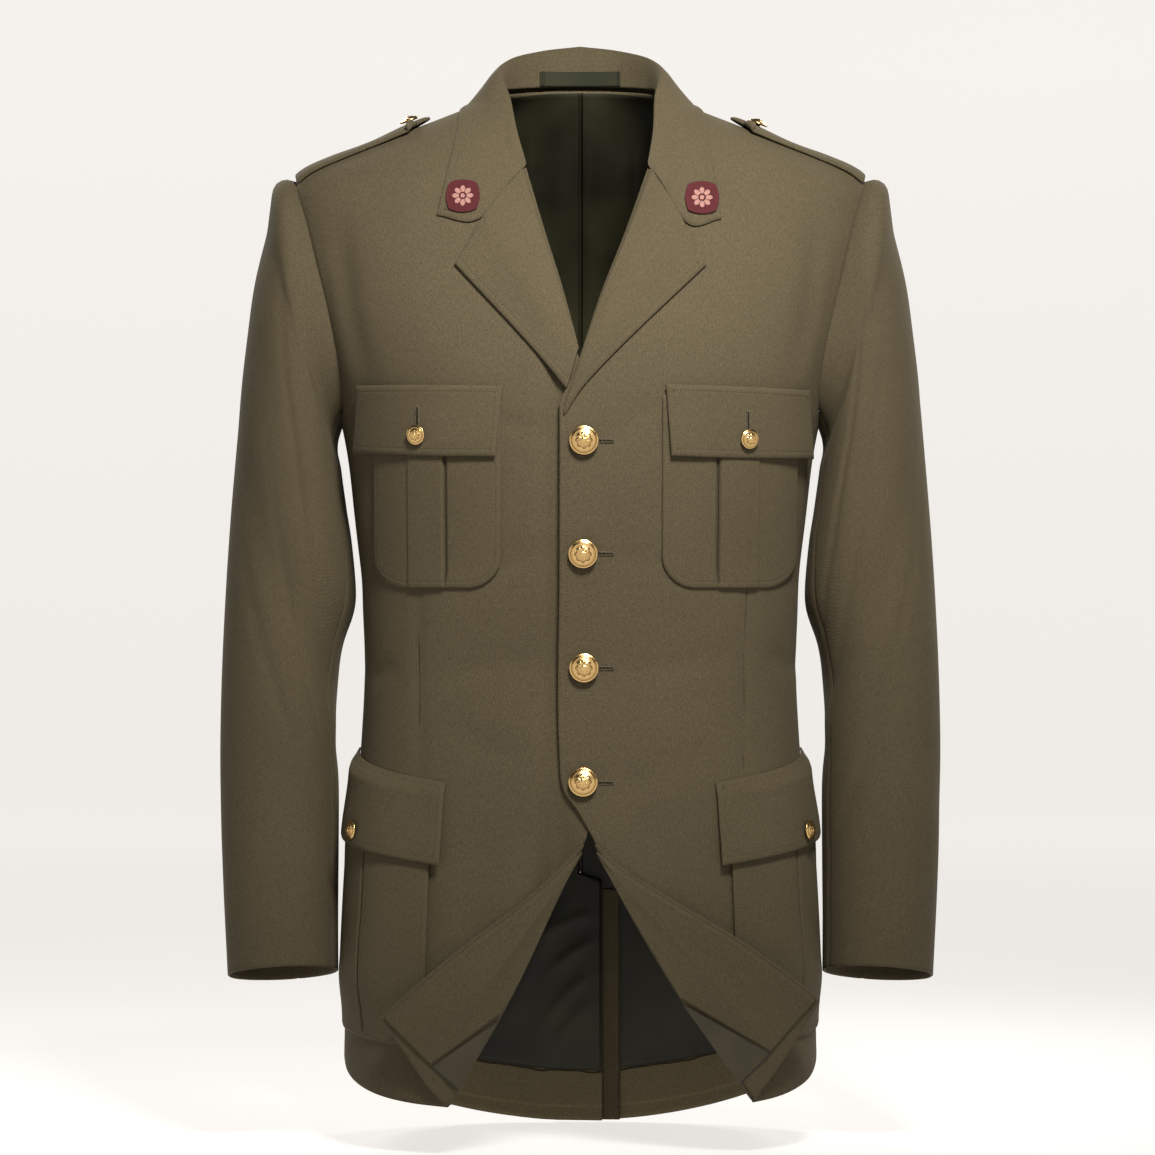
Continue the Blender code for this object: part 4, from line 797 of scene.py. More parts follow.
# Troughs on the fronts, seen from the front, each from its first point to its second
FRONT_CREASES = {
    "left": (
        (0.186, -0.085, 0.168, -0.215, 0.006, 0.0100, 0.0030),
        (0.205, -0.120, 0.184, -0.235, 0.002, 0.0060, 0.0020),
        (0.160, -0.255, 0.182, -0.400, -0.008, 0.0130, 0.0020),
        (0.020, -0.270, 0.060, -0.235, 0.003, 0.0090, 0.0013),
        (0.022, -0.355, 0.085, -0.372, 0.004, 0.0100, 0.0009),
        (0.022, -0.445, 0.135, -0.425, -0.006, 0.0120, 0.0013),
        (0.024, -0.535, 0.105, -0.500, -0.006, 0.0110, 0.0012),
        (0.150, -0.430, 0.172, -0.450, 0.0, 0.0090, 0.0016),
        (0.060, -0.560, 0.075, -0.690, 0.006, 0.0160, 0.0022),
        (0.095, -0.040, 0.150, -0.090, 0.004, 0.0150, -0.0012),
        (0.112, -0.590, 0.120, -0.740, -0.004, 0.0100, 0.0012),
    ),
    "right": (
        (0.190, -0.090, 0.166, -0.225, 0.006, 0.0105, 0.0032),
        (0.206, -0.125, 0.186, -0.235, 0.002, 0.0060, 0.0020),
        (0.158, -0.260, 0.180, -0.395, -0.010, 0.0120, 0.0022),
        (0.020, -0.262, 0.075, -0.250, 0.002, 0.0080, 0.0010),
        (0.0200, -0.190, 0.0200, -0.600, 0.0, 0.0060, 0.0034),
        (0.022, -0.350, 0.100, -0.385, 0.006, 0.0100, 0.0009),
        (0.020, -0.440, 0.120, -0.455, 0.006, 0.0120, 0.0014),
        (0.026, -0.520, 0.118, -0.478, -0.006, 0.0110, 0.0011),
        (0.146, -0.440, 0.170, -0.455, 0.0, 0.0090, 0.0016),
        (0.016, -0.545, 0.034, -0.690, -0.004, 0.0150, 0.0080),
        (0.070, -0.560, 0.085, -0.690, 0.006, 0.0160, 0.0018),
        (0.100, -0.045, 0.150, -0.092, 0.004, 0.0150, -0.0012),
        (0.118, -0.590, 0.122, -0.740, -0.004, 0.0100, 0.0012),
    ),
}
DARTS = {
    "left": ((0.1317, -0.3820), (0.1300, -0.4500), (0.1288, -0.5235)),
    "right": ((0.1275, -0.3800), (0.1280, -0.4500), (0.1268, -0.5260)),
}
LOWER_DART = ((0.1190, -0.5980), (0.1195, -0.6500), (0.1200, -0.7000))


def side_edge(behind):
    """Outer edge of a front or back: up the side seam, then up the armhole to the shoulder tip."""
    hem = hem_height(SIDE_SEAM)
    z = np.concatenate([
        np.linspace(hem, SEAM_JOINT, CELLS_FOLD + 1),
        np.linspace(SEAM_JOINT, UNDERARM, CELLS_CLOSING + 1)[1:],
    ])
    angle = SIDE_SEAM + (90 - SIDE_SEAM) * step(z, -0.40, UNDERARM)
    arm_angle, arm_z = armhole(np.linspace(180, 360 if behind else 0, CELLS_ARMHOLE + 1))
    angle, z = np.concatenate([angle, arm_angle[1:]]), np.concatenate([z, arm_z[1:]])
    return girth(180 - angle if behind else angle, z) - (SEAM, 0)


def shoulder_edge(count, crowd):
    """The shoulder seam from the neck to the tip."""
    return edge((girth(90, np.linspace(NECK_SIDE, TIP, 9)), count), crowd=crowd) - (2 * SEAM, 0)


def front_grid(name):
    """Girth grid of a front between its fold, closing edge and roll, its side, its hem and its shoulder."""
    fold, closing = (girth_at(*np.array(line[name]).T) for line in (FOLD_LINE, CLOSING))
    roll = girth_at(np.array(ROLL_X[name]) + ROLL_BACK * np.array((0, 1, 1, 1, 1)), np.array(ROLL_Z))
    roll = np.array([closing[-1], *roll[1:], girth(90, NECK_SIDE)])
    left = edge((fold, CELLS_FOLD), (closing, CELLS_CLOSING), (roll, CELLS_ARMHOLE))
    right = side_edge(behind=False)
    u = shares(CELLS_FRONT, 0.55)
    hem_angles = np.linspace(angle_at(*FOLD_LINE[name][0]), SIDE_SEAM, 7)
    bottom = along(girth(hem_angles, hem_height(hem_angles)), u)
    bottom[0], bottom[-1] = left[0], right[0]
    top = shoulder_edge(CELLS_FRONT, 0.55)
    top[-1], left[-1] = right[-1], top[0]
    return fill(left, right, bottom, top, u, np.linspace(0, 1, len(left)))


def build_fronts(sizes):
    """The two fronts. The left one is stitched 5 mm inside its closing edge, and both have waist darts."""
    for name, side in SIDES:
        grid = front_grid(name)
        angle, z = angles_of(grid)
        plain = on_form(angle, z)
        x = plain[..., 0]
        under = UNDERLAP * (1 - step(x, 0.016, 0.040)) * (1 - step(z, BREAK + 0.030, BREAK + 0.100)) * (side < 0)
        edge_lift = 0.0014 * bell(x, -LAP, 0.010) * step(z, -0.54, -0.50) * (side > 0)
        out = edge_lift - under - creases(x, z, FRONT_CREASES[name])
        outer = on_form(angle, z, out)
        low, high = CELLS_FOLD, CELLS_FOLD + CELLS_CLOSING
        closing = outer[low - 16:high + 4, 0]
        apart, run = reach_from(outer, [closing])
        stitch = apart - sizes.front_stitch if side > 0 else None
        lines = [on_form(angle_at(*dart.T), dart[:, 1]) for dart in np.array((DARTS[name], LOWER_DART))]
        seam, _ = reach_from(outer, [along(line, np.linspace(0, 1, 30)) for line in lines])
        dart = 0.0012 * bell(seam, 0, 0.0045)
        outer = outer - normals_of(outer) * (dart + seam_roll(outer, ("right", "top"), 0.0008))[..., None]
        made = cloth(f"front_{name}_cloth", outer, sizes.wool, [finish_of("wool"), finish_of("lining")], side,
                     stitch=stitch, run=run, seam=seam, back=1, chart=grid)
        replace([f"front_{name}"])


# Backs

BACK_UNDER = 0.0042      # how far inside the left back the right one lies in the vent
NECK_ANGLES = (0, 22, 45, 68, 90)
HEM_TOP = 0.0395         # height of the turned-up hem's top above the hem
CELLS_NECK, CELLS_SHOULDER = 24, 64
CELLS_VENT = 54

# Troughs on the backs, seen from behind
BACK_CREASES = {
    "left": (
        (0.186, -0.090, 0.172, -0.220, 0.006, 0.0110, 0.0032),
        (0.160, -0.250, 0.176, -0.395, -0.008, 0.0130, 0.0022),
        (0.045, -0.395, 0.135, -0.425, 0.006, 0.0130, 0.0016),
        (0.030, -0.455, 0.140, -0.450, -0.005, 0.0120, 0.0018),
        (0.070, -0.130, 0.110, -0.300, 0.010, 0.0220, 0.0018),
        (0.075, -0.540, 0.090, -0.760, 0.006, 0.0180, 0.0026),
        (0.030, -0.030, 0.110, -0.062, 0.004, 0.0120, 0.0012),
    ),
    "right": (
        (0.188, -0.085, 0.170, -0.225, 0.006, 0.0110, 0.0030),
        (0.158, -0.255, 0.178, -0.405, -0.008, 0.0130, 0.0024),
        (0.040, -0.405, 0.130, -0.410, -0.006, 0.0120, 0.0015),
        (0.035, -0.465, 0.135, -0.440, -0.005, 0.0120, 0.0018),
        (0.065, -0.140, 0.120, -0.290, 0.010, 0.0200, 0.0016),
        (0.095, -0.550, 0.105, -0.750, -0.006, 0.0170, 0.0024),
        (0.035, -0.026, 0.100, -0.056, 0.004, 0.0120, 0.0012),
    ),
}
# Ripples of the lining inside the skirt and below the neck, seen from the front, x growing outward
LINING_CREASES = {
    "left": (
        (0.045, 0.010, 0.040, -0.140, 0.004, 0.0060, 0.0026),
        (0.024, 0.014, 0.020, -0.100, -0.002, 0.0050, -0.0022),
        (0.008, 0.012, 0.006, -0.210, 0.001, 0.0040, 0.0022),
        (0.060, -0.660, 0.085, -0.770, 0.006, 0.0120, 0.0020),
        (0.040, -0.640, 0.050, -0.760, -0.004, 0.0080, -0.0014),
    ),
    "right": (
        (0.043, 0.010, 0.044, -0.130, -0.004, 0.0060, 0.0028),
        (0.026, 0.014, 0.026, -0.110, 0.003, 0.0050, -0.0022),
        (0.009, 0.012, 0.008, -0.210, -0.001, 0.0040, -0.0020),
        (-0.010, -0.650, 0.030, -0.668, 0.002, 0.0036, 0.0016),
        (-0.012, -0.672, 0.026, -0.700, 0.002, 0.0040, 0.0018),
        (-0.010, -0.700, 0.030, -0.742, 0.003, 0.0046, 0.0016),
        (0.010, -0.640, 0.060, -0.745, 0.008, 0.0090, 0.0026),
        (0.035, -0.640, 0.085, -0.770, 0.006, 0.0100, -0.0020),
        (-0.008, -0.725, 0.022, -0.765, 0.002, 0.0050, 0.0014),
    ),
}


def back_grid(side):
    """Girth grid of a back from the centre seam and vent to the side, its angles counted from centre back."""
    lap = VENT_LAP if side > 0 else VENT_LAP - 0.002
    hem = hem_height(180)
    left_z = np.concatenate([
        np.linspace(hem, VENT_TOP - 0.003, CELLS_VENT),
        np.linspace(VENT_TOP + 0.003, NECK_BACK, CELLS_CLOSING + CELLS_ARMHOLE + 1),
    ])
    left = np.stack([np.where(left_z < VENT_TOP, girth_at(-lap, left_z)[:, 0], SEAM), left_z], -1)
    right = side_edge(behind=True)
    neck_rise = (NECK_SIDE - NECK_BACK) * (np.array(NECK_ANGLES) / 90) ** 2
    neck = along(girth(NECK_ANGLES, NECK_BACK + neck_rise), np.linspace(0, 1, CELLS_NECK + 1)) - (SEAM, 0)
    top = np.concatenate([neck[:-1], shoulder_edge(CELLS_SHOULDER, 0.0)])
    steps = np.linspace(0, 1, CELLS_NECK + CELLS_SHOULDER + 1)
    angles = np.linspace(0, 180 - SIDE_SEAM, 9)
    hem_line = girth(angles, hem_height(180 - angles))
    hem_line[0] = left[0]
    bottom = along(hem_line, steps)
    bottom[-1] = right[0]
    top[0], top[-1] = left[-1], right[-1]
    return fill(left, right, bottom, top, steps, np.linspace(0, 1, len(left)))


def back_under(x, z, side):
    """How far inside the worn shape a back lies: the right one goes below the left one's vent lap."""
    if side > 0:
        return 0 * x
    return BACK_UNDER * (1 - step(x, 0.022, 0.060)) * (1 - step(z, VENT_TOP - 0.01, VENT_TOP + 0.07))


def back_points(grid, inside, side, dents=0.0):
    """Points over a back's girth grid, at a distance inside its outer face."""
    angle, z = angles_of(grid)
    return on_form(180 - angle, z, -back_under(on_form(angle, z)[..., 0], z, side) - inside - dents)


def build_backs(sizes):
    """The two backs, with a centre seam above the vent."""
    for name, side in SIDES:
        grid = back_grid(side)
        angle, z = angles_of(grid)
        x = on_form(angle, z)[..., 0]
        outer = back_points(grid, 0, side, creases(x, z, BACK_CREASES[name]))
        apart, _ = reach_from(outer, [outer[CELLS_VENT:, 0], outer[:, -1], outer[-1]])
        outer = pressed_in(outer, apart, -0.0008, 0.0022)
        # The backs' inner face takes the lighter copy of the wool: painted light inside the skirt.
        made = cloth(f"back_{name}_cloth", outer[:, ::-1], sizes.wool, [finish_of("wool"), finish_of("hem")], side,
                     back=1, chart=grid[:, ::-1])
        replace([f"back_{name}"])


# Lapels

LAPEL = {
    "left": {
        "outer": ((-0.0125, -0.2450), (0.0006, -0.2245), (0.0183, -0.2049), (0.0984, -0.1270)),
        "foot": ((-0.0120, BREAK), (-0.0125, -0.2450)),
        "notch": (0.0825, -0.0975),
    },
    "right": {
        "outer": ((0.0110, -0.2240), (0.0300, -0.2010), (0.0984, -0.1262)),
        "foot": ((0.0018, -0.1930), (0.0110, -0.2240)),
        "notch": (0.0792, -0.0940),
    },
}
GORGE_Z = -0.0455        # inner end of the seam between lapel and collar
NOTCH_SHARE = 0.66       # share of the lapel's top that this seam takes
LAPEL_CURL, LAPEL_BELLY = 0.0042, 0.0030     # how far it curls in behind its roll, and swells in its middle


def build_lapels(sizes):
    """The lapels lie on the fronts, curl in behind their roll and are stitched 5 mm inside their edge."""
    for name, side in SIDES:
        cut = LAPEL[name]
        roll_z = np.array([cut["foot"][0][1], -0.150, -0.100, GORGE_Z])
        roll = np.stack([smooth(roll_z, ROLL_Z, ROLL_X[name]), roll_z], -1)
        roll[0] = cut["foot"][0]
        v, u = shares(84, 0.3), shares(44, 0.5)
        left, right, bottom = along(roll, v), along(cut["outer"], v), along(cut["foot"], u)
        corners = zip(roll[-1], cut["notch"], cut["outer"][-1])
        top = np.stack([np.interp(u, (0, NOTCH_SHARE, 1), c) for c in corners], -1)
        top[:, 1] -= 2 * SEAM * (u < NOTCH_SHARE)
        left[-1], right[0], bottom[0], bottom[-1] = top[0], cut["outer"][0], left[0], cut["outer"][0]
        grid = fill(left, right, bottom, top, u, v)
        across, upward = u[None], v[:, None]
        curl = LAPEL_CURL * (1 - step(across, 0, 0.07)) * step(upward, 0, 0.3)
        belly = LAPEL_BELLY * np.sin(math.pi * np.clip(across, 0, 1)) ** 2 * step(upward, 0.05, 0.5)
        out = LYING + TRIM + 0.0012 * step(across, 0, 0.3) + belly - curl
        outer = on_form(angle_at(grid[..., 0], grid[..., 1]), grid[..., 1], out)
        cells = int(np.searchsorted(u, NOTCH_SHARE))
        sew_on("lapel", name, side, outer, [outer[:, -1], outer[-1, cells:]], (0.0007, 0.0012), sizes.edge_stitch,
               bias=-34)


# Collar: from the neck seam up inside the neck, over the fold and down outside to the leaf's edge

COLLAR_COLUMNS = (
    "station",
    "neck_x", "neck_y", "neck_z",
    "fold_x", "fold_y", "fold_z",
    "mid_x", "mid_y", "mid_z",
    "edge_x", "edge_y", "edge_z",
)
COLLAR_NAPE = (
    (0.00, 0.0, 0.037, 0.0275, 0.0, 0.0465, 0.0605, 0.0, 0.056, 0.037, 0.0, 0.061, 0.012),
    (0.22, 0.029, 0.032, 0.0265, 0.032, 0.039, 0.056, 0.040, 0.049, 0.035, 0.047, 0.056, 0.010),
    (0.42, 0.052, 0.016, 0.0235, 0.057, 0.017, 0.047, 0.070, 0.024, 0.029, 0.082, 0.033, 0.006),
)
COLLAR_ROWS = {
    "left": (
        *COLLAR_NAPE,
        (0.58, 0.060, -0.002, 0.020, 0.0655, -0.005, 0.0345, 0.080, -0.006, 0.020, 0.096, -0.008, 0.003),
        (0.72, 0.060, -0.013, 0.008, 0.0605, -0.023, 0.014, 0.080, -0.034, -0.008, 0.100, -0.035, -0.020),
        (0.86, 0.059, -0.038, -0.015, 0.0585, -0.051, -0.0165, 0.079, -0.060, -0.047, 0.105, -0.062, -0.056),
        (1.00, 0.057, -0.060, -0.040, 0.054, -0.069, -0.0445, 0.0825, -0.083, -0.0965, 0.1094, -0.080, -0.092),
    ),
    "right": (
        *COLLAR_NAPE,
        (0.58, 0.060, -0.002, 0.020, 0.0655, -0.005, 0.0345, 0.080, -0.006, 0.020, 0.095, -0.008, 0.0035),
        (0.72, 0.057, -0.013, 0.008, 0.0575, -0.023, 0.014, 0.077, -0.034, -0.008, 0.0975, -0.035, -0.016),
        (0.86, 0.054, -0.038, -0.015, 0.051, -0.051, -0.0165, 0.075, -0.060, -0.045, 0.105, -0.062, -0.052),
        (1.00, 0.048, -0.060, -0.040, 0.0436, -0.070, -0.0445, 0.0792, -0.083, -0.093, 0.1117, -0.079, -0.089),
    ),
}
COLLAR_KNOTS = (0.0, 0.22, 0.33, 0.44, 0.70, 1.0)
FOLD_ROUND = 0.0032      # half thickness of the folded collar
STAND_CELLS, LEAF_CELLS, COLLAR_ROWS_HALF = 22, 50, 76
STAND_STITCH, STAND_ENDS = 15, 8             # column that the stand's stitches follow, and rows left at its ends
LEAF_STITCH = 42         # first column of the stitches along the leaf's ends


def collar_half(name):
    """Grid of the collar's outer face on one side: smooth curves from the neck seam over the fold to the edge."""
    cut = table(COLLAR_COLUMNS, COLLAR_ROWS[name])
    at = np.linspace(0, 1, COLLAR_ROWS_HALF + 1)
    neck, fold, mid, rim = (
        smooth(at, cut["station"], np.stack([cut[f"{line}_{c}"] for c in "xyz"], -1))
        for line in ("neck", "fold", "mid", "edge")
    )
    away = fold * (1, 1, 0)
    away = away / np.linalg.norm(away, axis=1, keepdims=True)
    before = neck * 0.25 + fold * 0.75 - away * FOLD_ROUND * 0.4
    after = fold * 0.75 + mid * 0.25 + away * FOLD_ROUND * 0.5
    way = np.stack([neck, before, fold, after, mid, rim], 0)
    steps = np.concatenate([np.linspace(0, 0.40, STAND_CELLS, endpoint=False), np.linspace(0.40, 1, LEAF_CELLS + 1)])
    grid = smooth(steps, COLLAR_KNOTS, way).transpose(1, 0, 2)
    grid[:, STAND_CELLS:] = seat(grid[:, STAND_CELLS:], LYING + TRIM, press=False)
    return grid


def whole_collar():
    """Grid of the collar's outer face, from its right end to its left one."""
    return np.concatenate([collar_half("right")[:0:-1] * (-1, 1, 1), collar_half("left")])


def surface_depth(grid, x, z):
    """Depth of a grid where the front view shows x and z: a mean of its points, weighted exp(-(distance/3 mm)^2)."""
    flat = grid.reshape(-1, 3)
    depth = np.empty(x.shape)
    for i in range(0, x.size, 500):
        part = slice(i, i + 500)
        apart = (x.flat[part][:, None] - flat[:, 0]) ** 2 + (z.flat[part][:, None] - flat[:, 2]) ** 2
        weight = np.exp(-apart / 0.003**2) + 1e-15
        depth.flat[part] = (weight * flat[:, 1]).sum(1) / weight.sum(1)
    return depth


def build_collar(sizes):
    """The collar, one piece, stitched 5 mm inside its edge and along the foot of its stand."""
    outer = whole_collar()
    apart, run = reach_from(outer, [outer[:, -1], outer[0, LEAF_STITCH:], outer[-1, LEAF_STITCH:]])
    on_stand, stand_run = reach_from(outer[:, :STAND_CELLS], [outer[STAND_ENDS:-STAND_ENDS, STAND_STITCH]])
    stitch = apart - sizes.edge_stitch
    stitch[:, :STAND_CELLS] = on_stand
    run[:, :STAND_CELLS] = stand_run
    outer = pressed_in(outer, apart, -0.0006, 0.0012)
    made = cloth("collar_cloth", outer[::-1], TRIM, [finish_of("wool")], 1, stitch[::-1], run[::-1], bias=20)
    replace(["collar"])


# Folded-back corners of the skirt

CORNER_TOP = APEX - 0.008
CORNER = {
    "left": {
        "welt": (
            (0.1877, -0.7040), (0.1722, -0.6900), (0.1329, -0.6610),
            (0.0678, -0.6210), (0.0318, -0.5980), (0.0130, CORNER_TOP),
        ),
        "hem": ((0.1358, -0.7835), (0.1540, -0.7580), (0.1859, -0.7076), (0.1877, -0.7040)),
        "facing_hem": ((0.1494, -0.7440), (0.1850, -0.7040)),
        "facing_top": (0.0788, -0.7013),
        "lining_foot": (0.1255, -0.7690),
        "cloth": (0.0134, 0.0094, 0.0015),
    },
    "right": {
        "welt": (
            (0.1565, -0.7165), (0.1175, -0.6815), (0.0808, -0.6520),
            (0.0504, -0.6294), (0.0210, -0.6040), (-0.0010, CORNER_TOP),
        ),
        "hem": ((0.1027, -0.7855), (0.1071, -0.7830), (0.1447, -0.7332), (0.1565, -0.7165)),
        "facing_hem": ((0.1172, -0.7535), (0.1540, -0.7175)),
        "facing_top": (0.0640, -0.7140),
        "lining_foot": (0.0955, -0.7725),
        "cloth": (0.0114, 0.0080, 0.0012),
    },
}
CORNER_FLAT = 0.5        # how much of the body's rounding the stiff corner follows
ROLLED_OUT = 0.0015      # how far the corner's fold rolls out past the panel's edge


def corner_face(name, grid, out):
    """Points of a corner in front of the worn shape, from x and z. It follows half of the shape's rounding."""
    fold_x, fold_z = np.array(FOLD_LINE[name]).T
    x, z = grid[..., 0], grid[..., 1]
    at_fold = np.interp(z, fold_z, fold_x)
    y = shape(angle_at(at_fold + CORNER_FLAT * (x - at_fold), z), z)[..., 1]
    return np.stack([x, y - out, z], -1)


def corner_piece(name, piece, side, edges, u, v, out, thickness, cover, stitched, sizes, curl=0.0,
                 seam=None):
    """One sheet of a corner, from its edges as the front view shows them."""
    grid = fill(*edges, u, v)
    fold_curl = curl * (1 - step(u[None], 0, 0.035))
    wave_out = 0.0009 * np.sin(grid[..., 1] * 95 + grid[..., 0] * 60) * step(u[None], 0.1, 0.5)
    outer = corner_face(name, grid, out + thickness + wave_out - fold_curl)
    stitch = run = slit = None
    if stitched:
        apart, run = reach_from(outer, sides_of(outer, stitched))
        stitch = apart - sizes.edge_stitch
        outer = pressed_in(outer, apart, 0.0006, 0.0014)
    if seam:
        slit, _ = reach_from(outer, sides_of(outer, seam))
    made = cloth(f"{piece}_{name}_cloth", outer, thickness, [finish_of(cover)], side, stitch, run, slit, bias=40)
    replace([f"{piece}_{name}"])


def build_corners(sizes):
    """Each folded-back corner: the turned panel, the facing stitched along its edge, and the lining's end."""
    for name, side in SIDES:
        cut = CORNER[name]
        fold = np.array(FOLD_LINE[name]) - (ROLLED_OUT, 0)
        fold[-1] = (fold[-1][0] + 0.0025, CORNER_TOP)
        v, u = shares(90, 0.2), shares(40, 0.4)
        left, right, bottom = along(fold, v), along(cut["welt"], v), along(cut["hem"], u)
        bottom[0], bottom[-1] = left[0], right[0]
        top = straight(left[-1], right[-1], u)
        corner_piece(name, "corner", side, (left, right, bottom, top), u, v, LYING, TRIM, "wool", None,
                     sizes, curl=0.0030)

        lift = LYING + TRIM + 0.0006
        tops = np.array(cut["facing_top"])
        keep = fold[:, 1] > tops[1] + 0.004
        inner = np.concatenate([[tops], fold[keep][:-1] + (0.0008, 0), [fold[-1] + (0.0016, -0.006)]])
        welt = np.array(cut["welt"]) + (-0.0014, -0.0022)
        welt[0] = cut["facing_hem"][1]
        welt[-1] = inner[-1] + (0.0008, 0.0006)
        left, right = along(inner, v), along(welt, v)
        bottom = np.stack([np.interp(u, (0, 0.5, 1), c) for c in zip(tops, *cut["facing_hem"])], -1)
        top = straight(left[-1], right[-1], u)
        corner_piece(name, "skirt_facing", side, (left, right, bottom, top), u, v, lift, 0.0010, "wool", ("right",),
                     sizes, seam=("bottom",))

        foot, gap = np.array(cut["lining_foot"]), np.array((0.0003, -0.0006))
        corner = np.array(cut["facing_hem"][0]) + gap
        v, u = shares(40, 0.2), shares(30, 0.3)
        left = along((foot, tops + gap + (0.0008, -0.003)), v)
        right = np.stack([np.interp(v, (0, 0.25, 1), c) for c in
                          zip(foot + (0.0012, 0.0010), corner, tops + gap + (0.0016, -0.0033))], -1)
        bottom = straight(left[0], right[0], u)
        top = straight(left[-1], right[-1], u)
        corner_piece(name, "corner_lining", side, (left, right, bottom, top), u, v, lift, 0.0008, "facing", None,
                     sizes, seam=("right",))


# Lining, hem, vent facing and hanger loop inside the back

INSIDE = 0.0024          # outer face of what lies inside a panel
HEM_ROWS = 12
VENT_FACING = (0.0190, 0.0330)               # x of the vent facing's edges
LOOP_HALF, LOOP_HEIGHTS = 0.032, (0.0270, 0.0385)


def build_insides(sizes):
    """Turned-up hems, the satin lining with its ripples and neck pleat, the vent's facing and the hanger loop."""
    for name, side in SIDES:
        grid = back_grid(side)
        angle, z = angles_of(grid)
        x = on_form(angle, z)[..., 0]
        low = int(round(CELLS_VENT * HEM_TOP / (VENT_TOP - hem_height(180))))
        pressed = np.maximum(0, creases(x, z, BACK_CREASES[name]))
        dents = np.maximum(creases(x, z, LINING_CREASES[name]), -0.0006) + pressed
        centre = 0.0008 * bell(x, 0, 0.010) * step(z, -0.4, -0.1)
        outer = back_points(grid, INSIDE - 0.0006, side, dents + centre + 0.0010)
        outer[:, 0] += (0.0004, 0, 0)
        outer = outer[:, :-2]
        lining = outer[low:]
        lining[-1] -= (0, 0, 0.0015)
        seam, _ = reach_from(lining, [lining[0], lining[:, 0]])
        made = cloth(f"lining_{name}_cloth", lining, sizes.lining, [finish_of("lining")], side, seam=seam,
                     chart=grid[low:, :-2])
        replace([f"lining_{name}"])
        hem = back_points(grid, INSIDE, side, pressed)[:low + 1, :-2]
        share = np.linspace(0.25, 1, HEM_ROWS)[:, None, None]
        hem = hem[:1] + (hem[-1:] - hem[:1]) * share
        hem[-1] -= (0, 0, 0.0004)
        wavy = 0.0010 * np.sin(hem[-1, :, 0] * 130) + 0.0006 * np.sin(hem[-1, :, 0] * 310 + 1)
        hem[-1, :, 2] += np.minimum(wavy, 0.0002)
        seam, _ = reach_from(hem, [hem[-1]])
        # The turned-up hem takes the lighter copy of the wool: painted light where the body shades it.
        made = cloth(f"hem_{name}_cloth", hem, sizes.lining, [finish_of("hem")], side, seam=seam,
                     chart=grid[:HEM_ROWS, :-2])
        replace([f"hem_{name}"])
    z = np.linspace(hem_height(180) + 0.0005, VENT_TOP - 0.010, 90)[:, None]
    x = np.linspace(*VENT_FACING, 16)[None]
    wavy = 0.0004 * np.sin(z * 160) * (x - VENT_FACING[0]) / (VENT_FACING[1] - VENT_FACING[0])
    outer = back_points(girth_at(x, z), INSIDE + 0.0018, 1, wavy)
    seam, _ = reach_from(outer, [outer[:, -1]])
    made = cloth("vent_facing_cloth", outer, sizes.lining, [finish_of("wool")], 1, seam=seam)
    replace(["vent_facing"])
    stand = whole_collar()[:, :STAND_CELLS]
    x, z = np.meshgrid(np.linspace(-LOOP_HALF, LOOP_HALF, 65), np.linspace(*LOOP_HEIGHTS, 12))
    bow = 0.0008 * (1 - (x / LOOP_HALF) ** 2)
    outer = np.stack([x, surface_depth(stand, x, z) - LYING - 0.0014 - bow, z], -1)
    seam, _ = reach_from(outer, [outer[:, 2], outer[:, -3]])
    made = cloth("hanger_loop_cloth", outer, 0.0012, [finish_of("loop")], 1, seam=seam)
    replace(["hanger_loop"])


# Epaulettes

STRAP_END, STRAP_TIP = 0.2300, 0.1215        # x of its end at the armhole and of its tip
STRAP_HALF_OUT, STRAP_HALF_IN = 0.0265, 0.0225
STRAP_THICK = 0.0028
STRAP_LIFT = 0.0012      # how far its free end stands up from the shoulder
STRAP_POINT = 0.0128     # length of the point
STRAP_NARROW = 0.35      # share of its width that it loses towards the tip


def strap_face(out, run, across):
    """Grid of an epaulette at a distance above the shoulder, from the armhole to its pointed neck end."""
    run, across = run[:, None], across[None]
    x = STRAP_END + (STRAP_TIP - STRAP_END) * run
    half = STRAP_HALF_OUT + (STRAP_HALF_IN - STRAP_HALF_OUT) * run
    x = x + STRAP_POINT * across**2 * step(run, 0.80, 1.0)
    y = across * half * (1 - STRAP_NARROW * step(run, 0.88, 1.0))
    ridge = 0.006 - 0.39 * (x - 0.0906)
    start = np.stack(np.broadcast_arrays(x, y, ridge + 0.004 - 0.25 * np.abs(y)), -1)
    return seat(start, out + STRAP_LIFT * step(run, 0.45, 1.0) + 0 * across)


def build_epaulettes(sizes):
    """Each epaulette is one stiff padded strip, thinner at its edge and stitched all round."""
    run, across = shares(90, 0.4), 2 * shares(44, 0.5) - 1
    for name, side in SIDES:
        outer = strap_face(LYING + STRAP_THICK, run, across)
        apart, run_round = reach_from(outer, [outer[:, 0], outer[-1], outer[::-1, -1]])
        bow = 0.0007 * np.sin(run * 9.0)[:, None] * (1 - np.abs(across) ** 2)[None]
        outer = outer + normals_of(outer) * (bow - 0.0009 * bell(apart, 0, 0.0016))[..., None]
        made = cloth(f"epaulette_{name}_cloth", outer, STRAP_THICK - 0.0004, [finish_of("wool")], side,
                     apart - sizes.edge_stitch, run_round)
        replace([f"epaulette_{name}"])


# Breast pockets

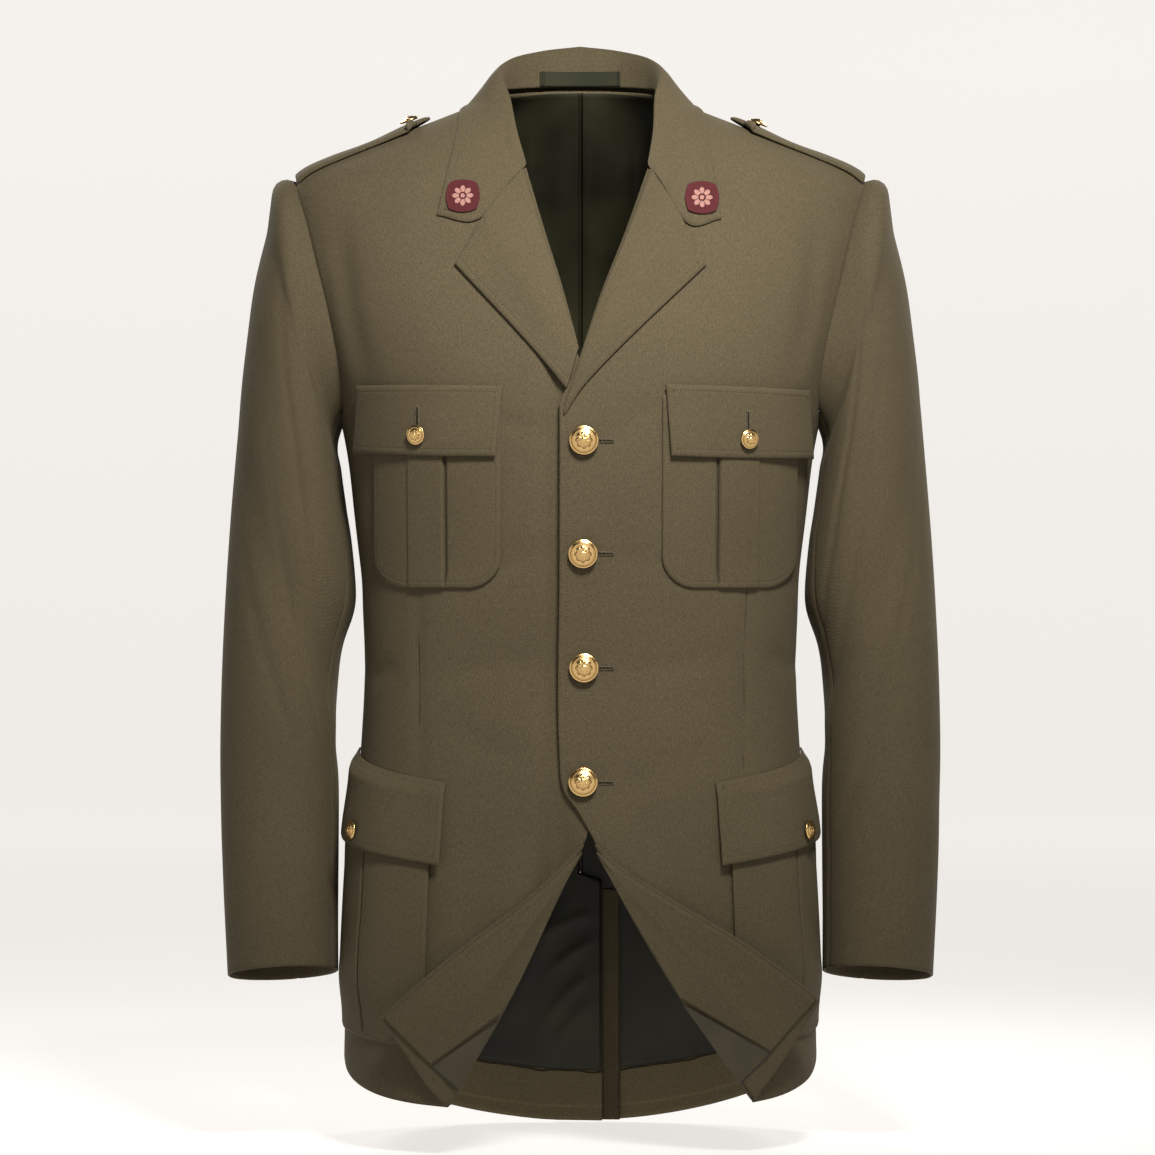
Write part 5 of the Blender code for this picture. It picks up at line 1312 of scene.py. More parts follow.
BREAST = {
    "left": {
        "flap": ((0.0664, -0.2215), (0.1775, -0.2235), (0.1790, -0.2765), (0.0700, -0.2765)),
        "pocket": (0.0640, 0.1710),
        "pleat": (0.1085, 0.1385),
    },
    "right": {
        "flap": ((0.0605, -0.2230), (0.1735, -0.2200), (0.1750, -0.2724), (0.0655, -0.2770)),
        "pocket": (0.0620, 0.1625),
        "pleat": (0.1070, 0.1340),
    },
}
BREAST_TOP, BREAST_BOTTOM = -0.2300, -0.3800
BREAST_ROUND = 0.026     # radius of the pocket's lower corners
PLEAT_RISE, PLEAT_GAP = 0.0012, 0.0022       # how far the box pleat stands up, and the gap beside it goes in
FLAP_OVER = 2 * LYING + TRIM + PLEAT_RISE
FLAP_OPEN = 0.0016       # how far the flap's lower edge stands off


def build_breast_pockets(sizes):
    """Patch pockets with a box pleat that stands open on its inner side, and their stitched flaps."""
    for name, side in SIDES:
        cut = BREAST[name]
        near, far = cut["pocket"]
        first, last = cut["pleat"]
        v = (np.linspace(0, 1, 49) ** 1.3)[:, None]
        inner_part = near + (first - 0.0030 - near) * shares(34, 0.3)
        pleat = first + (last - first) * shares(26, 0.6)
        outer_part = last + 0.0012 + (far - last - 0.0012) * shares(28, 0.3)
        opening = np.array([first - 0.0026, first - 0.0021, first - 0.0014, first - 0.0007, first - 0.0003])
        x = np.concatenate([inner_part, opening, pleat, [last + 0.0005], outer_part])[None]
        z = BREAST_BOTTOM + (BREAST_TOP - BREAST_BOTTOM) * v
        reach = np.clip(np.minimum(x - near, far - x) / BREAST_ROUND, 0, 1)
        z = z + BREAST_ROUND * (1 - np.sqrt(1 - (1 - reach) ** 2)) * (1 - step(v, 0, 1))
        x = x + 0 * z
        raised = PLEAT_RISE * step(x, first - 0.0009, first + 0.0006) * (1 - step(x, last - 0.0004, last + 0.0008))
        gap = PLEAT_GAP * bell(x, first - 0.0017, 0.0013) * step(v, 0.02, 0.10)
        belly = 0.0010 * np.sin(np.pi * np.clip((x - near) / (far - near), 0, 1)) * step(v, 0.1, 0.6)
        out = LYING + TRIM + raised - gap + belly
        outer = on_form(angle_at(x, z), z, out)
        # The slit column darkens the box pleat's opening: painted shade.
        sew_on("breast_pocket", name, side, outer, sides_of(outer, OPEN_TOP), (0.0006, 0.0012), sizes.pocket_stitch,
               slit=len(inner_part) + 2)

        top_in, top_out, low_out, low_in = (np.array(p) for p in cut["flap"])
        u, v = shares(84, 0.35), shares(44, 0.35)
        bow = 0.0012 * np.sin(np.pi * u)[:, None] * (0, 1)
        grid = fill(along((low_in, top_in), v), along((low_out, top_out), v),
                    along((low_in, low_out), u) - bow, along((top_in, top_out), u), u, v)
        wavy = 0.0005 * np.sin(u[None] * 7.0 + side) * (1 - step(v[:, None], 0.1, 0.9))
        out = FLAP_OVER + FLAP_OPEN * (1 - step(v[:, None], 0, 0.8)) + wavy + 0 * grid[..., 0]
        outer = on_form(angle_at(grid[..., 0], grid[..., 1]), grid[..., 1], out + TRIM)
        sew_on("breast_flap", name, side, outer, sides_of(outer, ALL_ROUND), (0.0007, 0.0013), sizes.edge_stitch)


# Lower pockets

POCKET_FRONT, POCKET_BACK, POCKET_PLEAT = 38.0, 90.0, 60.0   # angles from centre front
POCKET_TOP, POCKET_BOTTOM, POCKET_SLANT = -0.545, -0.741, 0.012
POCKET_STAND = 0.0060    # how far the bellows stand out
BELLOWS_PRESSED = 0.0024 # how far the pleat is pressed in
POCKET_CELLS = 40        # cells ahead of the pleat
FLAP_FRONT, FLAP_BACK = 34.5, 92.0
FLAP_TOP, FLAP_BOTTOM, FLAP_SLANT = -0.533, -0.598, 0.024
FLAP_STAND = 0.0022


def pocket_out(angle, v):
    """How far the bellows pocket's outer face stands out, by angle and height share."""
    rise = step(angle, POCKET_FRONT, POCKET_PLEAT - 2)
    fall = 1 - 0.55 * step(angle, POCKET_PLEAT + 8, POCKET_BACK)
    return LYING + TRIM + POCKET_STAND * rise * fall * step(v, 0, 0.25) * (1 - 0.9 * step(v, 0.78, 1.0))


def flap_in(angle, v):
    """How far the lower flap's inner face stands out, over the pocket."""
    below = pocket_out(angle, 0.7) * (1 - step(v, 0.80, 1.0))
    return below + LYING + FLAP_STAND * (1 - step(v, 0, 0.7))


def build_lower_pockets(sizes):
    """Bellows pockets, with a pleat pressed in as exp(-(d/0.42 deg)^2), and their stitched flaps round the hip."""
    for name, side in SIDES:
        angle = np.concatenate([
            POCKET_FRONT + (POCKET_PLEAT - 1.2 - POCKET_FRONT) * shares(POCKET_CELLS, 0.4),
            np.linspace(POCKET_PLEAT - 0.9, POCKET_PLEAT + 0.9, 7),
            POCKET_PLEAT + 1.2 + (POCKET_BACK - POCKET_PLEAT - 1.2) * shares(44, 0.4),
        ])[None]
        v = shares(64, 0.3)[:, None]
        slant = POCKET_SLANT * (angle - POCKET_FRONT) / (POCKET_BACK - POCKET_FRONT)
        z = POCKET_BOTTOM + slant + (POCKET_TOP - POCKET_BOTTOM) * v
        angle = angle + 0 * z
        pressed = BELLOWS_PRESSED * bell(angle, POCKET_PLEAT, 0.42) * step(v, 0, 0.06)
        sag = 0.0012 * np.sin(z * 42 + angle * 0.08) * step(v, 0, 0.3) * step(angle, POCKET_FRONT, POCKET_PLEAT)
        sag = sag * (1 - step(angle, POCKET_BACK - 12, POCKET_BACK))
        outer = on_form(angle, z, pocket_out(angle, v) - pressed + np.maximum(sag, 0))
        # The slit column darkens the pressed pleat: painted shade.
        sew_on("lower_pocket", name, side, outer, sides_of(outer, OPEN_TOP), (0.0007, 0.0013), sizes.pocket_stitch,
               slit=POCKET_CELLS + 4)

        angle, v = (FLAP_FRONT + (FLAP_BACK - FLAP_FRONT) * shares(96, 0.4))[None], shares(40, 0.35)[:, None]
        slant = FLAP_SLANT * (angle - FLAP_FRONT) / (FLAP_BACK - FLAP_FRONT)
        z = FLAP_BOTTOM + slant + (FLAP_TOP - FLAP_BOTTOM) * v
        angle = angle + 0 * z
        wavy = 0.0008 * np.sin(angle * 0.16 + side) * (1 - step(v, 0.1, 0.8))
        outer = on_form(angle, z, flap_in(angle, v) + TRIM + np.maximum(wavy, 0))
        sew_on("lower_flap", name, side, outer, sides_of(outer, ALL_ROUND), (0.0007, 0.0013), sizes.edge_stitch)


# Buttons

FRONT_BUTTONS = ((0.0027, -0.2648), (0.0020, -0.3529), (0.0027, -0.4426), (0.0020, -0.5323))
FRONT_SEATS = (0.0, 0.0, 0.0006, 0.0)
FRONT_RADIUS, SMALL_RADIUS = 0.0115, 0.0078
FRONT_SHANK, SMALL_SHANK = 0.0026, 0.0018
BREAST_BUTTONS = {"left": (0.1280, -0.2627), "right": (0.1246, -0.2596)}
LOWER_BUTTON = (63.5, -0.5735)
EPAULETTE_BUTTONS = {"left": 0.1425, "right": 0.1370}
EPAULETTE_AXIS = (0.35, -0.12, 1.0)
BUTTON_COLUMNS = 80
# Radius and height of the shank, back, rim and dome, in shares of the radius and above the shank
BUTTON_BACK = ((0.26, -1.0), (0.26, 0.0), (0.88, 0.0), (0.97, 0.05), (1.0, 0.13))


def build_button(name, place, axis, radius, shank, side=1):
    """Struck button: a shank, a rolled rim and a dome of 0.27 to 0.50 of its radius.

    The dome carries a ring of cord, whose height is a sine of the direction less the radius, and a rosette of
    eight petals within half of it, whose edge is a wave of the direction."""
    turn = np.linspace(0, 2 * np.pi, BUTTON_COLUMNS, endpoint=False)[None]
    axis = np.asarray(axis, float) / np.linalg.norm(axis)
    first = np.cross(axis, (0, 0.2, 1.0))
    first = first / np.linalg.norm(first)
    second = np.cross(axis, first)
    share = np.concatenate([np.linspace(0.985, 0.80, 9), np.linspace(0.775, 0.06, 26)])[:, None]
    rim = bell(share, 0.93, 0.055)
    dome = 0.20 + 0.28 * (1 - share**2)
    cord = bell(share, 0.78, 0.045) * (0.5 + 0.5 * np.sin(turn * 36 - share * 30))
    petal_edge = 0.42 + 0.14 * np.abs(np.cos(4 * turn))
    petal = 1 - step(share, petal_edge - 0.05, petal_edge + 0.02)
    vein = 0.5 - 0.5 * np.abs(np.sin(4 * turn)) ** 0.4
    heart = 1 - step(share, 0.15, 0.19)
    relief = 0.050 * petal * (1 - 0.7 * vein * (1 - heart)) + 0.045 * heart + 0.045 * cord + 0.06 * rim
    height = dome + relief - 0.06 * rim
    groove = bell(share, petal_edge, 0.035) + bell(share, 0.86, 0.022)
    hollow = np.clip(groove + petal * vein * (1 - heart) + 0.5 * (1 - cord) * (np.abs(share - 0.78) < 0.06), 0, 1)
    back = np.array(BUTTON_BACK)
    low = np.where(back[:, 1] < 0, SEAM, shank + back[:, 1] * radius)
    ring_r = np.concatenate([back[:, :1] * radius + 0 * turn, share * radius + 0 * turn])
    ring_h = np.concatenate([low[:, None] + 0 * turn, shank + height * radius])
    # The shank, back and outer edge get 0.6 of the darker gilt: painted shade under the button's edge.
    hollow = np.concatenate([np.full((len(back), BUTTON_COLUMNS), 0.6), hollow])
    spokes = np.cos(turn)[..., None] * first + np.sin(turn)[..., None] * second
    rings = ring_h[..., None] * axis + ring_r[..., None] * spokes
    ends = axis * np.array([[SEAM], [shank + (ring_h[-1].mean() - shank)]])
    points = np.concatenate([rings.reshape(-1, 3), ends]) + place
    index = np.arange(ring_r.size).reshape(-1, BUTTON_COLUMNS)
    after = np.roll(index, -1, axis=1)
    quads = np.stack([index[:-1], after[:-1], after[1:], index[1:]], -1).reshape(-1, 4)
    low_fan = np.stack([np.full(BUTTON_COLUMNS, index.size), after[0], index[0]], -1)
    top_fan = np.stack([np.full(BUTTON_COLUMNS, index.size + 1), index[-1], after[-1]], -1)
    faces = quads.tolist() + low_fan.tolist() + top_fan.tolist()
    if side < 0:
        points = points * (-1, 1, 1)
        faces = [face[::-1] for face in faces]
    # The back's middle point also gets painted shade.
    facts = {"hollow": np.concatenate([hollow.reshape(-1), [0.6, 0.0]])}
    made = make_mesh(f"{name}_gilt", points, faces, [finish_of("gilt")], facts=facts)
    replace([name])


def build_buttons(sizes):
    """Four front buttons and two small ones each on the breast flaps, lower flaps and epaulettes."""
    for number, ((x, z), out) in enumerate(zip(FRONT_BUTTONS, FRONT_SEATS), 1):
        angle, z = angle_at(x, z), np.array(z)
        build_button(f"front_button_{number}", on_form(angle, z, out), outward(angle, z), FRONT_RADIUS, FRONT_SHANK)
    for name, side in SIDES:
        x, z = BREAST_BUTTONS[name]
        angle, z = angle_at(x, z), np.array(z)
        place = on_form(angle, z, FLAP_OVER + TRIM + FLAP_OPEN * 0.75)
        build_button(f"breast_button_{name}", place, outward(angle, z), SMALL_RADIUS, SMALL_SHANK, side)
        angle, z = (np.array(value) for value in LOWER_BUTTON)
        place = on_form(angle, z, flap_in(angle, 0.1) + TRIM)
        build_button(f"lower_button_{name}", place, outward(angle, z), SMALL_RADIUS, SMALL_SHANK, side)
        top = strap_face(LYING + STRAP_THICK, np.linspace(0, 1, 11), np.linspace(-1, 1, 5))[:, 2]
        place = np.array([np.interp(-EPAULETTE_BUTTONS[name], -top[:, 0], c) for c in top.T]) + (0, 0, 2 * SEAM)
        build_button(f"epaulette_button_{name}", place, EPAULETTE_AXIS, SMALL_RADIUS, SMALL_SHANK, side)


# Buttonholes

HOLE_FROM, HOLE_TO = -0.0060, 0.0262         # x of a front buttonhole's ends
BREAST_HOLE = (0.0010, 0.0215)               # heights of a breast buttonhole's ends above its button's middle
HOLE_HALF, THREAD_ROUND = 0.0011, 0.00062


def worked_loop(name, ahead, middle, half_length, side, place_on, half=HOLE_HALF, cover="thread"):
    """Thread round a buttonhole: a tube on a long rounded loop, x = a cos t, y = b sin t with its sides pressed
    straight by a power of 0.35, and notched along it by the stitches."""
    turn = np.linspace(0, 2 * np.pi, 112, endpoint=False)
    long = half_length * np.sign(np.cos(turn)) * np.abs(np.cos(turn)) ** 0.6
    wide = half * np.sign(np.sin(turn)) * np.abs(np.sin(turn)) ** 0.35
    ahead = np.asarray(ahead, float)
    aside = np.array((-ahead[1], ahead[0]))
    flat = middle + long[:, None] * ahead + wide[:, None] * aside
    path = place_on(flat[:, 0], flat[:, 1])
    way = np.roll(path, -1, axis=0) - np.roll(path, 1, axis=0)
    way /= np.linalg.norm(way, axis=1, keepdims=True)
    out = outward(angle_at(flat[:, 0], flat[:, 1]), flat[:, 1])
    across = np.cross(way, out)
    round_it = np.linspace(0, 2 * np.pi, 6, endpoint=False)
    notched = THREAD_ROUND * (1 + 0.22 * np.sign(np.sin(turn * 28 + 0.1)))[:, None, None]
    ring = np.cos(round_it)[None, :, None] * across[:, None] + np.sin(round_it)[None, :, None] * out[:, None]
    points = (path[:, None] + ring * notched).reshape(-1, 3)
    index = np.arange(len(points)).reshape(len(path), -1)
    after, below = np.roll(index, -1, axis=0), np.roll(index, -1, axis=1)
    both = np.roll(after, -1, axis=1)
    faces = np.stack([index, after, both, below], -1).reshape(-1, 4)
    if side < 0:
        points = points * (-1, 1, 1)
        faces = faces[:, ::-1]
    made = make_mesh(name, points, faces.tolist(), [finish_of(cover)])


def worked_hole(name, ahead, middle, half_length, side, place_on):
    """A buttonhole: its worked loop, and a dark line of painted shade along the slit in it."""
    worked_loop(name, ahead, middle, half_length, side, place_on)
    # The slit is a thin dark tube: painted shade in the cut.
    worked_loop(f"{name}_slit", ahead, middle, half_length - 0.0010, side, place_on, 0.0003, "slit")


def build_buttonholes(sizes):
    """Four level buttonholes on the left front and an upright one on each breast flap."""
    for number, (x, z) in enumerate(FRONT_BUTTONS, 1):
        middle = np.array(((HOLE_FROM + HOLE_TO) / 2, z - 0.0004))
        worked_hole(f"front_buttonhole_{number}", (1, 0), middle, (HOLE_TO - HOLE_FROM) / 2, 1,
                    lambda x, z: on_form(angle_at(x, z), z, 0.0002))
    for name, side in SIDES:
        x, z = BREAST_BUTTONS[name]
        low, high = BREAST_HOLE
        worked_hole(f"breast_buttonhole_{name}", (0, 1), np.array((x + 0.0004, z + (low + high) / 2)),
                    (high - low) / 2, side,
                    lambda x, z: on_form(angle_at(x, z), z, FLAP_OVER + TRIM + FLAP_OPEN * 0.4))


# Badges

BADGE_PLACE = {"left": (0.0960, -0.0720), "right": (0.0929, -0.0706)}
BADGE_HALF = 0.0135
BADGE_ROUND = 0.35       # how far its square is drawn towards a round
BADGE_THICK = 0.0012
LEAF_FRONT_ROWS = 30     # first row of the collar's leaf that a badge may lie on


def build_badges(sizes):
    """Rounded felt patches with a sewn rosette of eight petals and a corded border, a plain pattern of our own."""
    a, b = np.meshgrid(np.linspace(-1, 1, 57), np.linspace(-1, 1, 57))
    for name, side in SIDES:
        flat_x, flat_z = a * np.sqrt(1 - b * b * BADGE_ROUND), b * np.sqrt(1 - a * a * BADGE_ROUND)
        x, z = BADGE_PLACE[name][0] + BADGE_HALF * flat_x, BADGE_PLACE[name][1] + BADGE_HALF * flat_z
        leaf = collar_half(name)[LEAF_FRONT_ROWS:, STAND_CELLS:]
        edge_away = 1 - np.maximum(np.abs(a), np.abs(b))
        far, turn = np.hypot(flat_x, flat_z), np.arctan2(flat_z, flat_x)
        eight = np.abs(np.cos(4 * turn))
        petals = 1 - step(far, 0.36 + 0.22 * eight, 0.44 + 0.22 * eight)
        petals = petals * step(far, 0.20, 0.26) * step(eight, 0.12, 0.30)
        heart = 1 - step(far, 0.11, 0.16)
        border = bell(edge_away, 0.085, 0.040)
        sewn = np.clip(petals + heart + 0.42 * border, 0, 1)
        rays = np.where(edge_away < 0.16, (a + b) * BADGE_HALF, far * BADGE_HALF)
        raised = 0.00035 * sewn - 0.0005 * bell(edge_away, 0, 0.03)
        depth = surface_depth(leaf, x, z) - LYING - BADGE_THICK - raised
        outer = np.stack([x, depth, z], -1)
        made = cloth(f"badge_{name}_felt", outer, BADGE_THICK, [finish_of("badge")], side)
        count = len(made.data.vertices)
        for key, values in (("sewn", sewn), ("rays", rays)):
            full = np.zeros(count, np.float32)
            full[:values.size] = values.reshape(-1)
            made.data.attributes.new(key, "FLOAT", "POINT").data.foreach_set("value", full)
        replace([f"badge_{name}"])


# Stage

FLOOR_Z = -0.8250
COVE_FLAT, COVE_ROUND, COVE_TOP = 5.0, 1.5, 1.6   # radius of the level run, radius of the curve, top of the wall
COVE_TURNS = 96
PAPER_LIT, PAPER_GLOW = 0.36, 0.86           # shares of the paper's tone that the lights and its own glow give
CAMERA_AT = (-0.0023, -4.13, -0.372)
CAMERA_LENS = 159.8
WARM_WHITE = (1.0, 0.985, 0.96)
# Name, place, size, power, spread in degrees and the point that it is aimed at
LIGHTS = (
    ("key_light", (0.28, -1.20, 0.84), 0.42, 5.3, 47, (0, 0, -0.21)),
    ("left_back_light", (-1.1, 1.7, 1.2), 0.8, 6.0, 70, (0, 0, -0.35)),
    ("right_back_light", (1.2, 1.8, 1.2), 0.8, 4.5, 70, (0, 0, -0.35)),
)


def stage_finish(name, colour):
    """Matt paper. The eye gets a plain pale ground with a barely uneven tone."""
    made, tree, shader = start(name, 0.95, Specular_IOR_Level=0.1)
    ground = mixed(tree, noise(tree, object_point(tree), 0.8), shade(colour, 0.985), tuple(colour))
    grey = (PAPER_LIT, PAPER_LIT, PAPER_LIT, 1.0)
    tree.links.new(mixed(tree, 1.0, ground, grey, "MULTIPLY"), shader.inputs["Base Color"])
    tree.links.new(ground, shader.inputs["Emission Color"])
    shader.inputs["Emission Strength"].default_value = PAPER_GLOW
    return made


def build_stage(sizes):
    """Round pale floor that curves up into a low wall all round: a level run, a quarter circle and an upright run,
    turned about the middle."""
    colours = bpy.context.scene.jacket_colours
    bend = np.linspace(0, np.pi / 2, 24)
    reach = np.concatenate([np.linspace(0.02, COVE_FLAT, 10)[:-1], COVE_FLAT + COVE_ROUND * np.sin(bend),
                            [COVE_FLAT + COVE_ROUND]])
    height = np.concatenate([np.zeros(9), COVE_ROUND * (1 - np.cos(bend)), [COVE_TOP - FLOOR_Z]])
    turn = np.linspace(0, 2 * np.pi, COVE_TURNS, endpoint=False)
    x, y = reach[:, None] * np.cos(turn), reach[:, None] * np.sin(turn)
    z = np.broadcast_to(FLOOR_Z + height[:, None], x.shape)
    points = np.concatenate([np.stack([x, y, z], -1).reshape(-1, 3), [(0, 0, FLOOR_Z)]])
    index = np.arange(x.size).reshape(x.shape)
    after = np.roll(index, -1, axis=1)
    faces = np.stack([index[:-1], index[1:], after[1:], after[:-1]], -1).reshape(-1, 4).tolist()
    faces += np.stack([np.full(COVE_TURNS, x.size), index[0], after[0]], -1).tolist()
    mesh = bpy.data.meshes.new("floor")
    mesh.from_pydata(points.tolist(), [], faces)
    mesh.shade_smooth()
    mesh.materials.append(stage_finish("pale_paper_matt", colours.ground))
    floor = bpy.data.objects.new("floor", mesh)
    bpy.context.collection.objects.link(floor)
    for name, place, size, power, spread, aim in LIGHTS:
        light = bpy.data.lights.new(name, "AREA")
        light.energy, light.size, light.color, light.spread = power, size, WARM_WHITE, math.radians(spread)
        lamp = bpy.data.objects.new(name, light)
        lamp.location = place
        lamp.rotation_euler = (Vector(aim) - Vector(place)).to_track_quat("-Z", "Y").to_euler()
        bpy.context.collection.objects.link(lamp)
    scene = bpy.context.scene
    world = bpy.data.worlds.new("studio")
    world.use_nodes = True
    background = world.node_tree.nodes["Background"]
    background.inputs["Color"].default_value = (*WARM_WHITE, 1.0)
    background.inputs["Strength"].default_value = 0.05
    scene.world = world
    scene.view_settings.view_transform = "Standard"
    camera = bpy.data.objects.new("camera", bpy.data.cameras.new("camera"))
    camera.data.lens, camera.data.sensor_width = CAMERA_LENS, 36.0
    camera.data.clip_end = 60.0
    camera.location = CAMERA_AT
    camera.rotation_euler = (np.pi / 2, 0, 0)
    bpy.context.collection.objects.link(camera)
    scene.camera = camera


# What a user would change


def length(name, description, default, high):
    """A size in metres with its limits."""
    return bpy.props.FloatProperty(name=name, description=description, default=default, min=0.0002, max=high,
                                   precision=4, unit="LENGTH")


def colour_of(name, description, code):
    """A colour, from its sRGB hex code."""
    return bpy.props.FloatVectorProperty(name=name, description=description, subtype="COLOR", size=4, min=0.0,
                                         max=1.0, default=linear(code))


class JacketSizes(bpy.types.PropertyGroup):
    """Thicknesses and stitch distances that can be changed before a piece is built again."""

    wool: length("Wool", "Thickness of the fronts, backs and sleeves", 0.0018, 0.003)
    lining: length("Lining", "Thickness of the lining and of the turned-up hem", 0.0010, 0.002)
    edge_stitch: length("Edge stitches", "How far inside their edge the collar, lapels and flaps are stitched",
                        0.0050, 0.012)
    front_stitch: length("Front stitches", "How far inside the left front's closing edge the stitches run",
                         0.0050, 0.012)
    pocket_stitch: length("Pocket stitches", "How far inside their edge the patch pockets are stitched",
                          0.0048, 0.012)


class JacketColours(bpy.types.PropertyGroup):
    """Colours of the cloths, threads, buttons and badges, and of the ground."""

    wool: colour_of("Wool", "Middle tone of the cloth", "#423A29")
    wool_light: colour_of("Wool, lighter yarns", "Tone of the lighter yarns", "#514834")
    wool_dark: colour_of("Wool, darker yarns", "Tone of the darker yarns", "#30291C")
    # The seams' own tone, also used for painted shade in stitch grooves, pleat gaps and buttonhole slits.
    wool_seam_and_shade: colour_of("Seams", "Tone in seams and stitch lines", "#2A2417")
    wool_sheen: colour_of("Wool nap", "Tint of the light that the nap catches", "#C9BC9C")
    thread: colour_of("Stitches", "Thread of stitches and buttonholes", "#4C4330")
    lining: colour_of("Lining", "Satin inside the body", "#292819")
    lining_dark: colour_of("Lining, darker", "Satin in its darker patches", "#16150C")
    facing: colour_of("Turned corner's lining", "Satin end on the folded-back corners", "#3E3829")
    facing_dark: colour_of("Turned corner's lining, darker", "Its darker patches", "#302B1F")
    loop: colour_of("Hanger loop", "Satin of the hanger loop", "#12180A")
    gilt: colour_of("Gilt", "Raised gilt of the buttons", "#E6C080")
    # The darker gilt is also painted shade on the buttons' backs and edges.
    gilt_dark: colour_of("Gilt, hollows", "Darker gilt in the hollows", "#5A3410")
    badge: colour_of("Badge felt", "Ground of the badges", "#440F13")
    badge_dark: colour_of("Badge felt, darker", "Darker fibres of the badges", "#300A0D")
    badge_thread: colour_of("Badge thread", "Shade side of the sewn pattern", "#77504A")
    badge_light: colour_of("Badge thread, lighter", "Light side of the sewn pattern", "#A2786D")
    ground: colour_of("Ground", "Paper floor and wall", "#F2EFEB")


class JACKET_OT_sleeves(bpy.types.Operator):
    """Top and under sleeve of both arms"""

    bl_idname = "jacket.sleeves"
    bl_label = "Sleeves"
    bl_options = {"REGISTER", "UNDO"}

    def execute(self, context):
        build_sleeves(context.scene.jacket_sizes)
        return {"FINISHED"}


class JACKET_OT_fronts(bpy.types.Operator):
    """Both fronts with their darts and closing edge"""

    bl_idname = "jacket.fronts"
    bl_label = "Fronts"
    bl_options = {"REGISTER", "UNDO"}

    def execute(self, context):
        build_fronts(context.scene.jacket_sizes)
        return {"FINISHED"}


class JACKET_OT_backs(bpy.types.Operator):
    """Both backs with the centre seam and vent"""

    bl_idname = "jacket.backs"
    bl_label = "Backs"
    bl_options = {"REGISTER", "UNDO"}

    def execute(self, context):
        build_backs(context.scene.jacket_sizes)
        return {"FINISHED"}


class JACKET_OT_lapels(bpy.types.Operator):
    """Both lapels, stitched along their edge"""

    bl_idname = "jacket.lapels"
    bl_label = "Lapels"
    bl_options = {"REGISTER", "UNDO"}

    def execute(self, context):
        build_lapels(context.scene.jacket_sizes)
        return {"FINISHED"}


class JACKET_OT_collar(bpy.types.Operator):
    """The collar, from the neck seam over its fold to the leaf's edge"""

    bl_idname = "jacket.collar"
    bl_label = "Collar"
    bl_options = {"REGISTER", "UNDO"}

    def execute(self, context):
        build_collar(context.scene.jacket_sizes)
        return {"FINISHED"}


class JACKET_OT_corners(bpy.types.Operator):
    """The skirt's folded-back corners, their facing and lining"""

    bl_idname = "jacket.corners"
    bl_label = "Folded corners"
    bl_options = {"REGISTER", "UNDO"}

    def execute(self, context):
        build_corners(context.scene.jacket_sizes)
        return {"FINISHED"}


class JACKET_OT_insides(bpy.types.Operator):
    """Back lining, turned-up hems, vent facing and hanger loop"""

    bl_idname = "jacket.insides"
    bl_label = "Lining and hem"
    bl_options = {"REGISTER", "UNDO"}

    def execute(self, context):
        build_insides(context.scene.jacket_sizes)
        return {"FINISHED"}


class JACKET_OT_epaulettes(bpy.types.Operator):
    """Both pointed shoulder straps"""

    bl_idname = "jacket.epaulettes"
    bl_label = "Epaulettes"
    bl_options = {"REGISTER", "UNDO"}

    def execute(self, context):
        build_epaulettes(context.scene.jacket_sizes)
        return {"FINISHED"}


class JACKET_OT_breast_pockets(bpy.types.Operator):
    """Box-pleated patch pockets and their flaps"""

    bl_idname = "jacket.breast_pockets"
    bl_label = "Breast pockets"
    bl_options = {"REGISTER", "UNDO"}

    def execute(self, context):
        build_breast_pockets(context.scene.jacket_sizes)
        return {"FINISHED"}


class JACKET_OT_lower_pockets(bpy.types.Operator):
    """Bellows pockets and their flaps"""

    bl_idname = "jacket.lower_pockets"
    bl_label = "Lower pockets"
    bl_options = {"REGISTER", "UNDO"}

    def execute(self, context):
        build_lower_pockets(context.scene.jacket_sizes)
        return {"FINISHED"}


class JACKET_OT_buttons(bpy.types.Operator):
    """Ten domed gilt buttons with a plain rosette"""

    bl_idname = "jacket.buttons"
    bl_label = "Buttons"
    bl_options = {"REGISTER", "UNDO"}

    def execute(self, context):
        build_buttons(context.scene.jacket_sizes)
        return {"FINISHED"}


class JACKET_OT_buttonholes(bpy.types.Operator):
    """Worked buttonholes of the left front and the breast flaps"""

    bl_idname = "jacket.buttonholes"
    bl_label = "Buttonholes"
    bl_options = {"REGISTER", "UNDO"}

    def execute(self, context):
        build_buttonholes(context.scene.jacket_sizes)
        return {"FINISHED"}


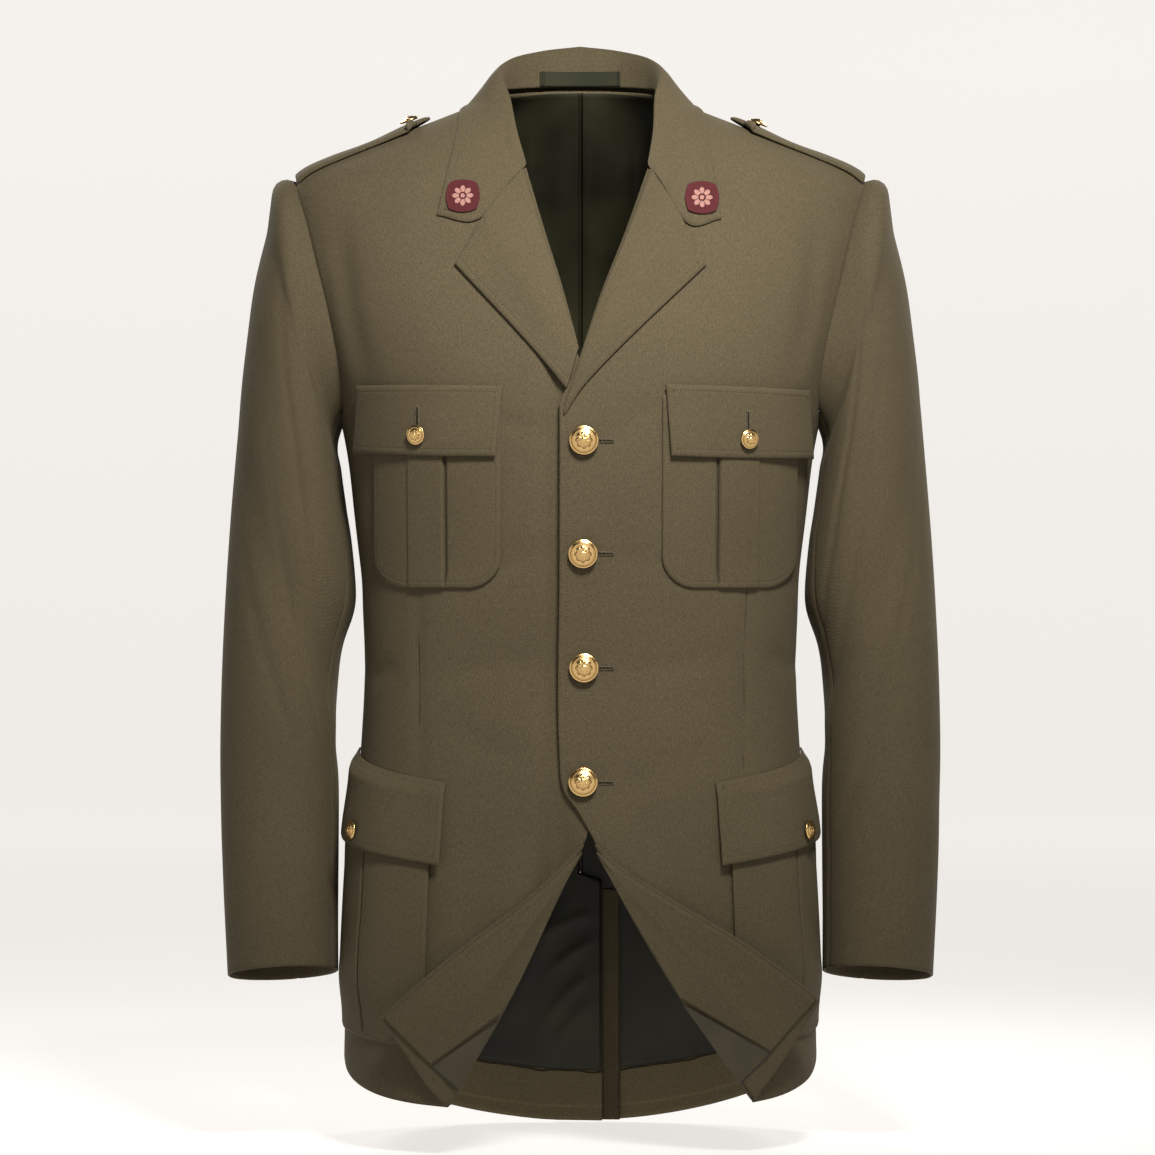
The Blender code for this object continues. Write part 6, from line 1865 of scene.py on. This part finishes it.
class JACKET_OT_badges(bpy.types.Operator):
    """Felt patches with a plain sewn rosette"""

    bl_idname = "jacket.badges"
    bl_label = "Collar badges"
    bl_options = {"REGISTER", "UNDO"}

    def execute(self, context):
        build_badges(context.scene.jacket_sizes)
        return {"FINISHED"}


class JACKET_OT_stage(bpy.types.Operator):
    """Pale floor and wall, soft lights and the camera"""

    bl_idname = "jacket.stage"
    bl_label = "Stage"
    bl_options = {"REGISTER", "UNDO"}

    def execute(self, context):
        build_stage(context.scene.jacket_sizes)
        return {"FINISHED"}


OPERATORS = (JACKET_OT_sleeves, JACKET_OT_fronts, JACKET_OT_backs, JACKET_OT_lapels, JACKET_OT_collar,
             JACKET_OT_corners, JACKET_OT_insides, JACKET_OT_epaulettes, JACKET_OT_breast_pockets,
             JACKET_OT_lower_pockets, JACKET_OT_buttons, JACKET_OT_buttonholes, JACKET_OT_badges,
             JACKET_OT_stage)


class JACKET_PT_sidebar(bpy.types.Panel):
    """Lists the pieces, sizes and colours of the jacket."""

    bl_idname = "JACKET_PT_sidebar"
    bl_label = "Service Dress Jacket"
    bl_space_type = "VIEW_3D"
    bl_region_type = "UI"
    bl_category = "Jacket"

    def draw(self, context):
        for entry in OPERATORS:
            self.layout.operator(entry.bl_idname)
        for title, group in (("Sizes", context.scene.jacket_sizes), ("Colours", context.scene.jacket_colours)):
            box = self.layout.box()
            box.label(text=title)
            for key in group.__annotations__:
                box.prop(group, key)


CLASSES = (JacketSizes, JacketColours, *OPERATORS, JACKET_PT_sidebar)


def register():
    """Registers the classes, and hangs the sizes and colours on the scene."""
    for entry in CLASSES:
        bpy.utils.register_class(entry)
    bpy.types.Scene.jacket_sizes = bpy.props.PointerProperty(type=JacketSizes)
    bpy.types.Scene.jacket_colours = bpy.props.PointerProperty(type=JacketColours)


def unregister():
    """Takes back what register adds."""
    del bpy.types.Scene.jacket_sizes, bpy.types.Scene.jacket_colours
    for entry in reversed(CLASSES):
        bpy.utils.unregister_class(entry)


def main():
    """Builds every piece and the stage."""
    register()
    for entry in OPERATORS:
        getattr(bpy.ops.jacket, entry.bl_idname.split(".")[1])()


if __name__ == "__main__":
    main()
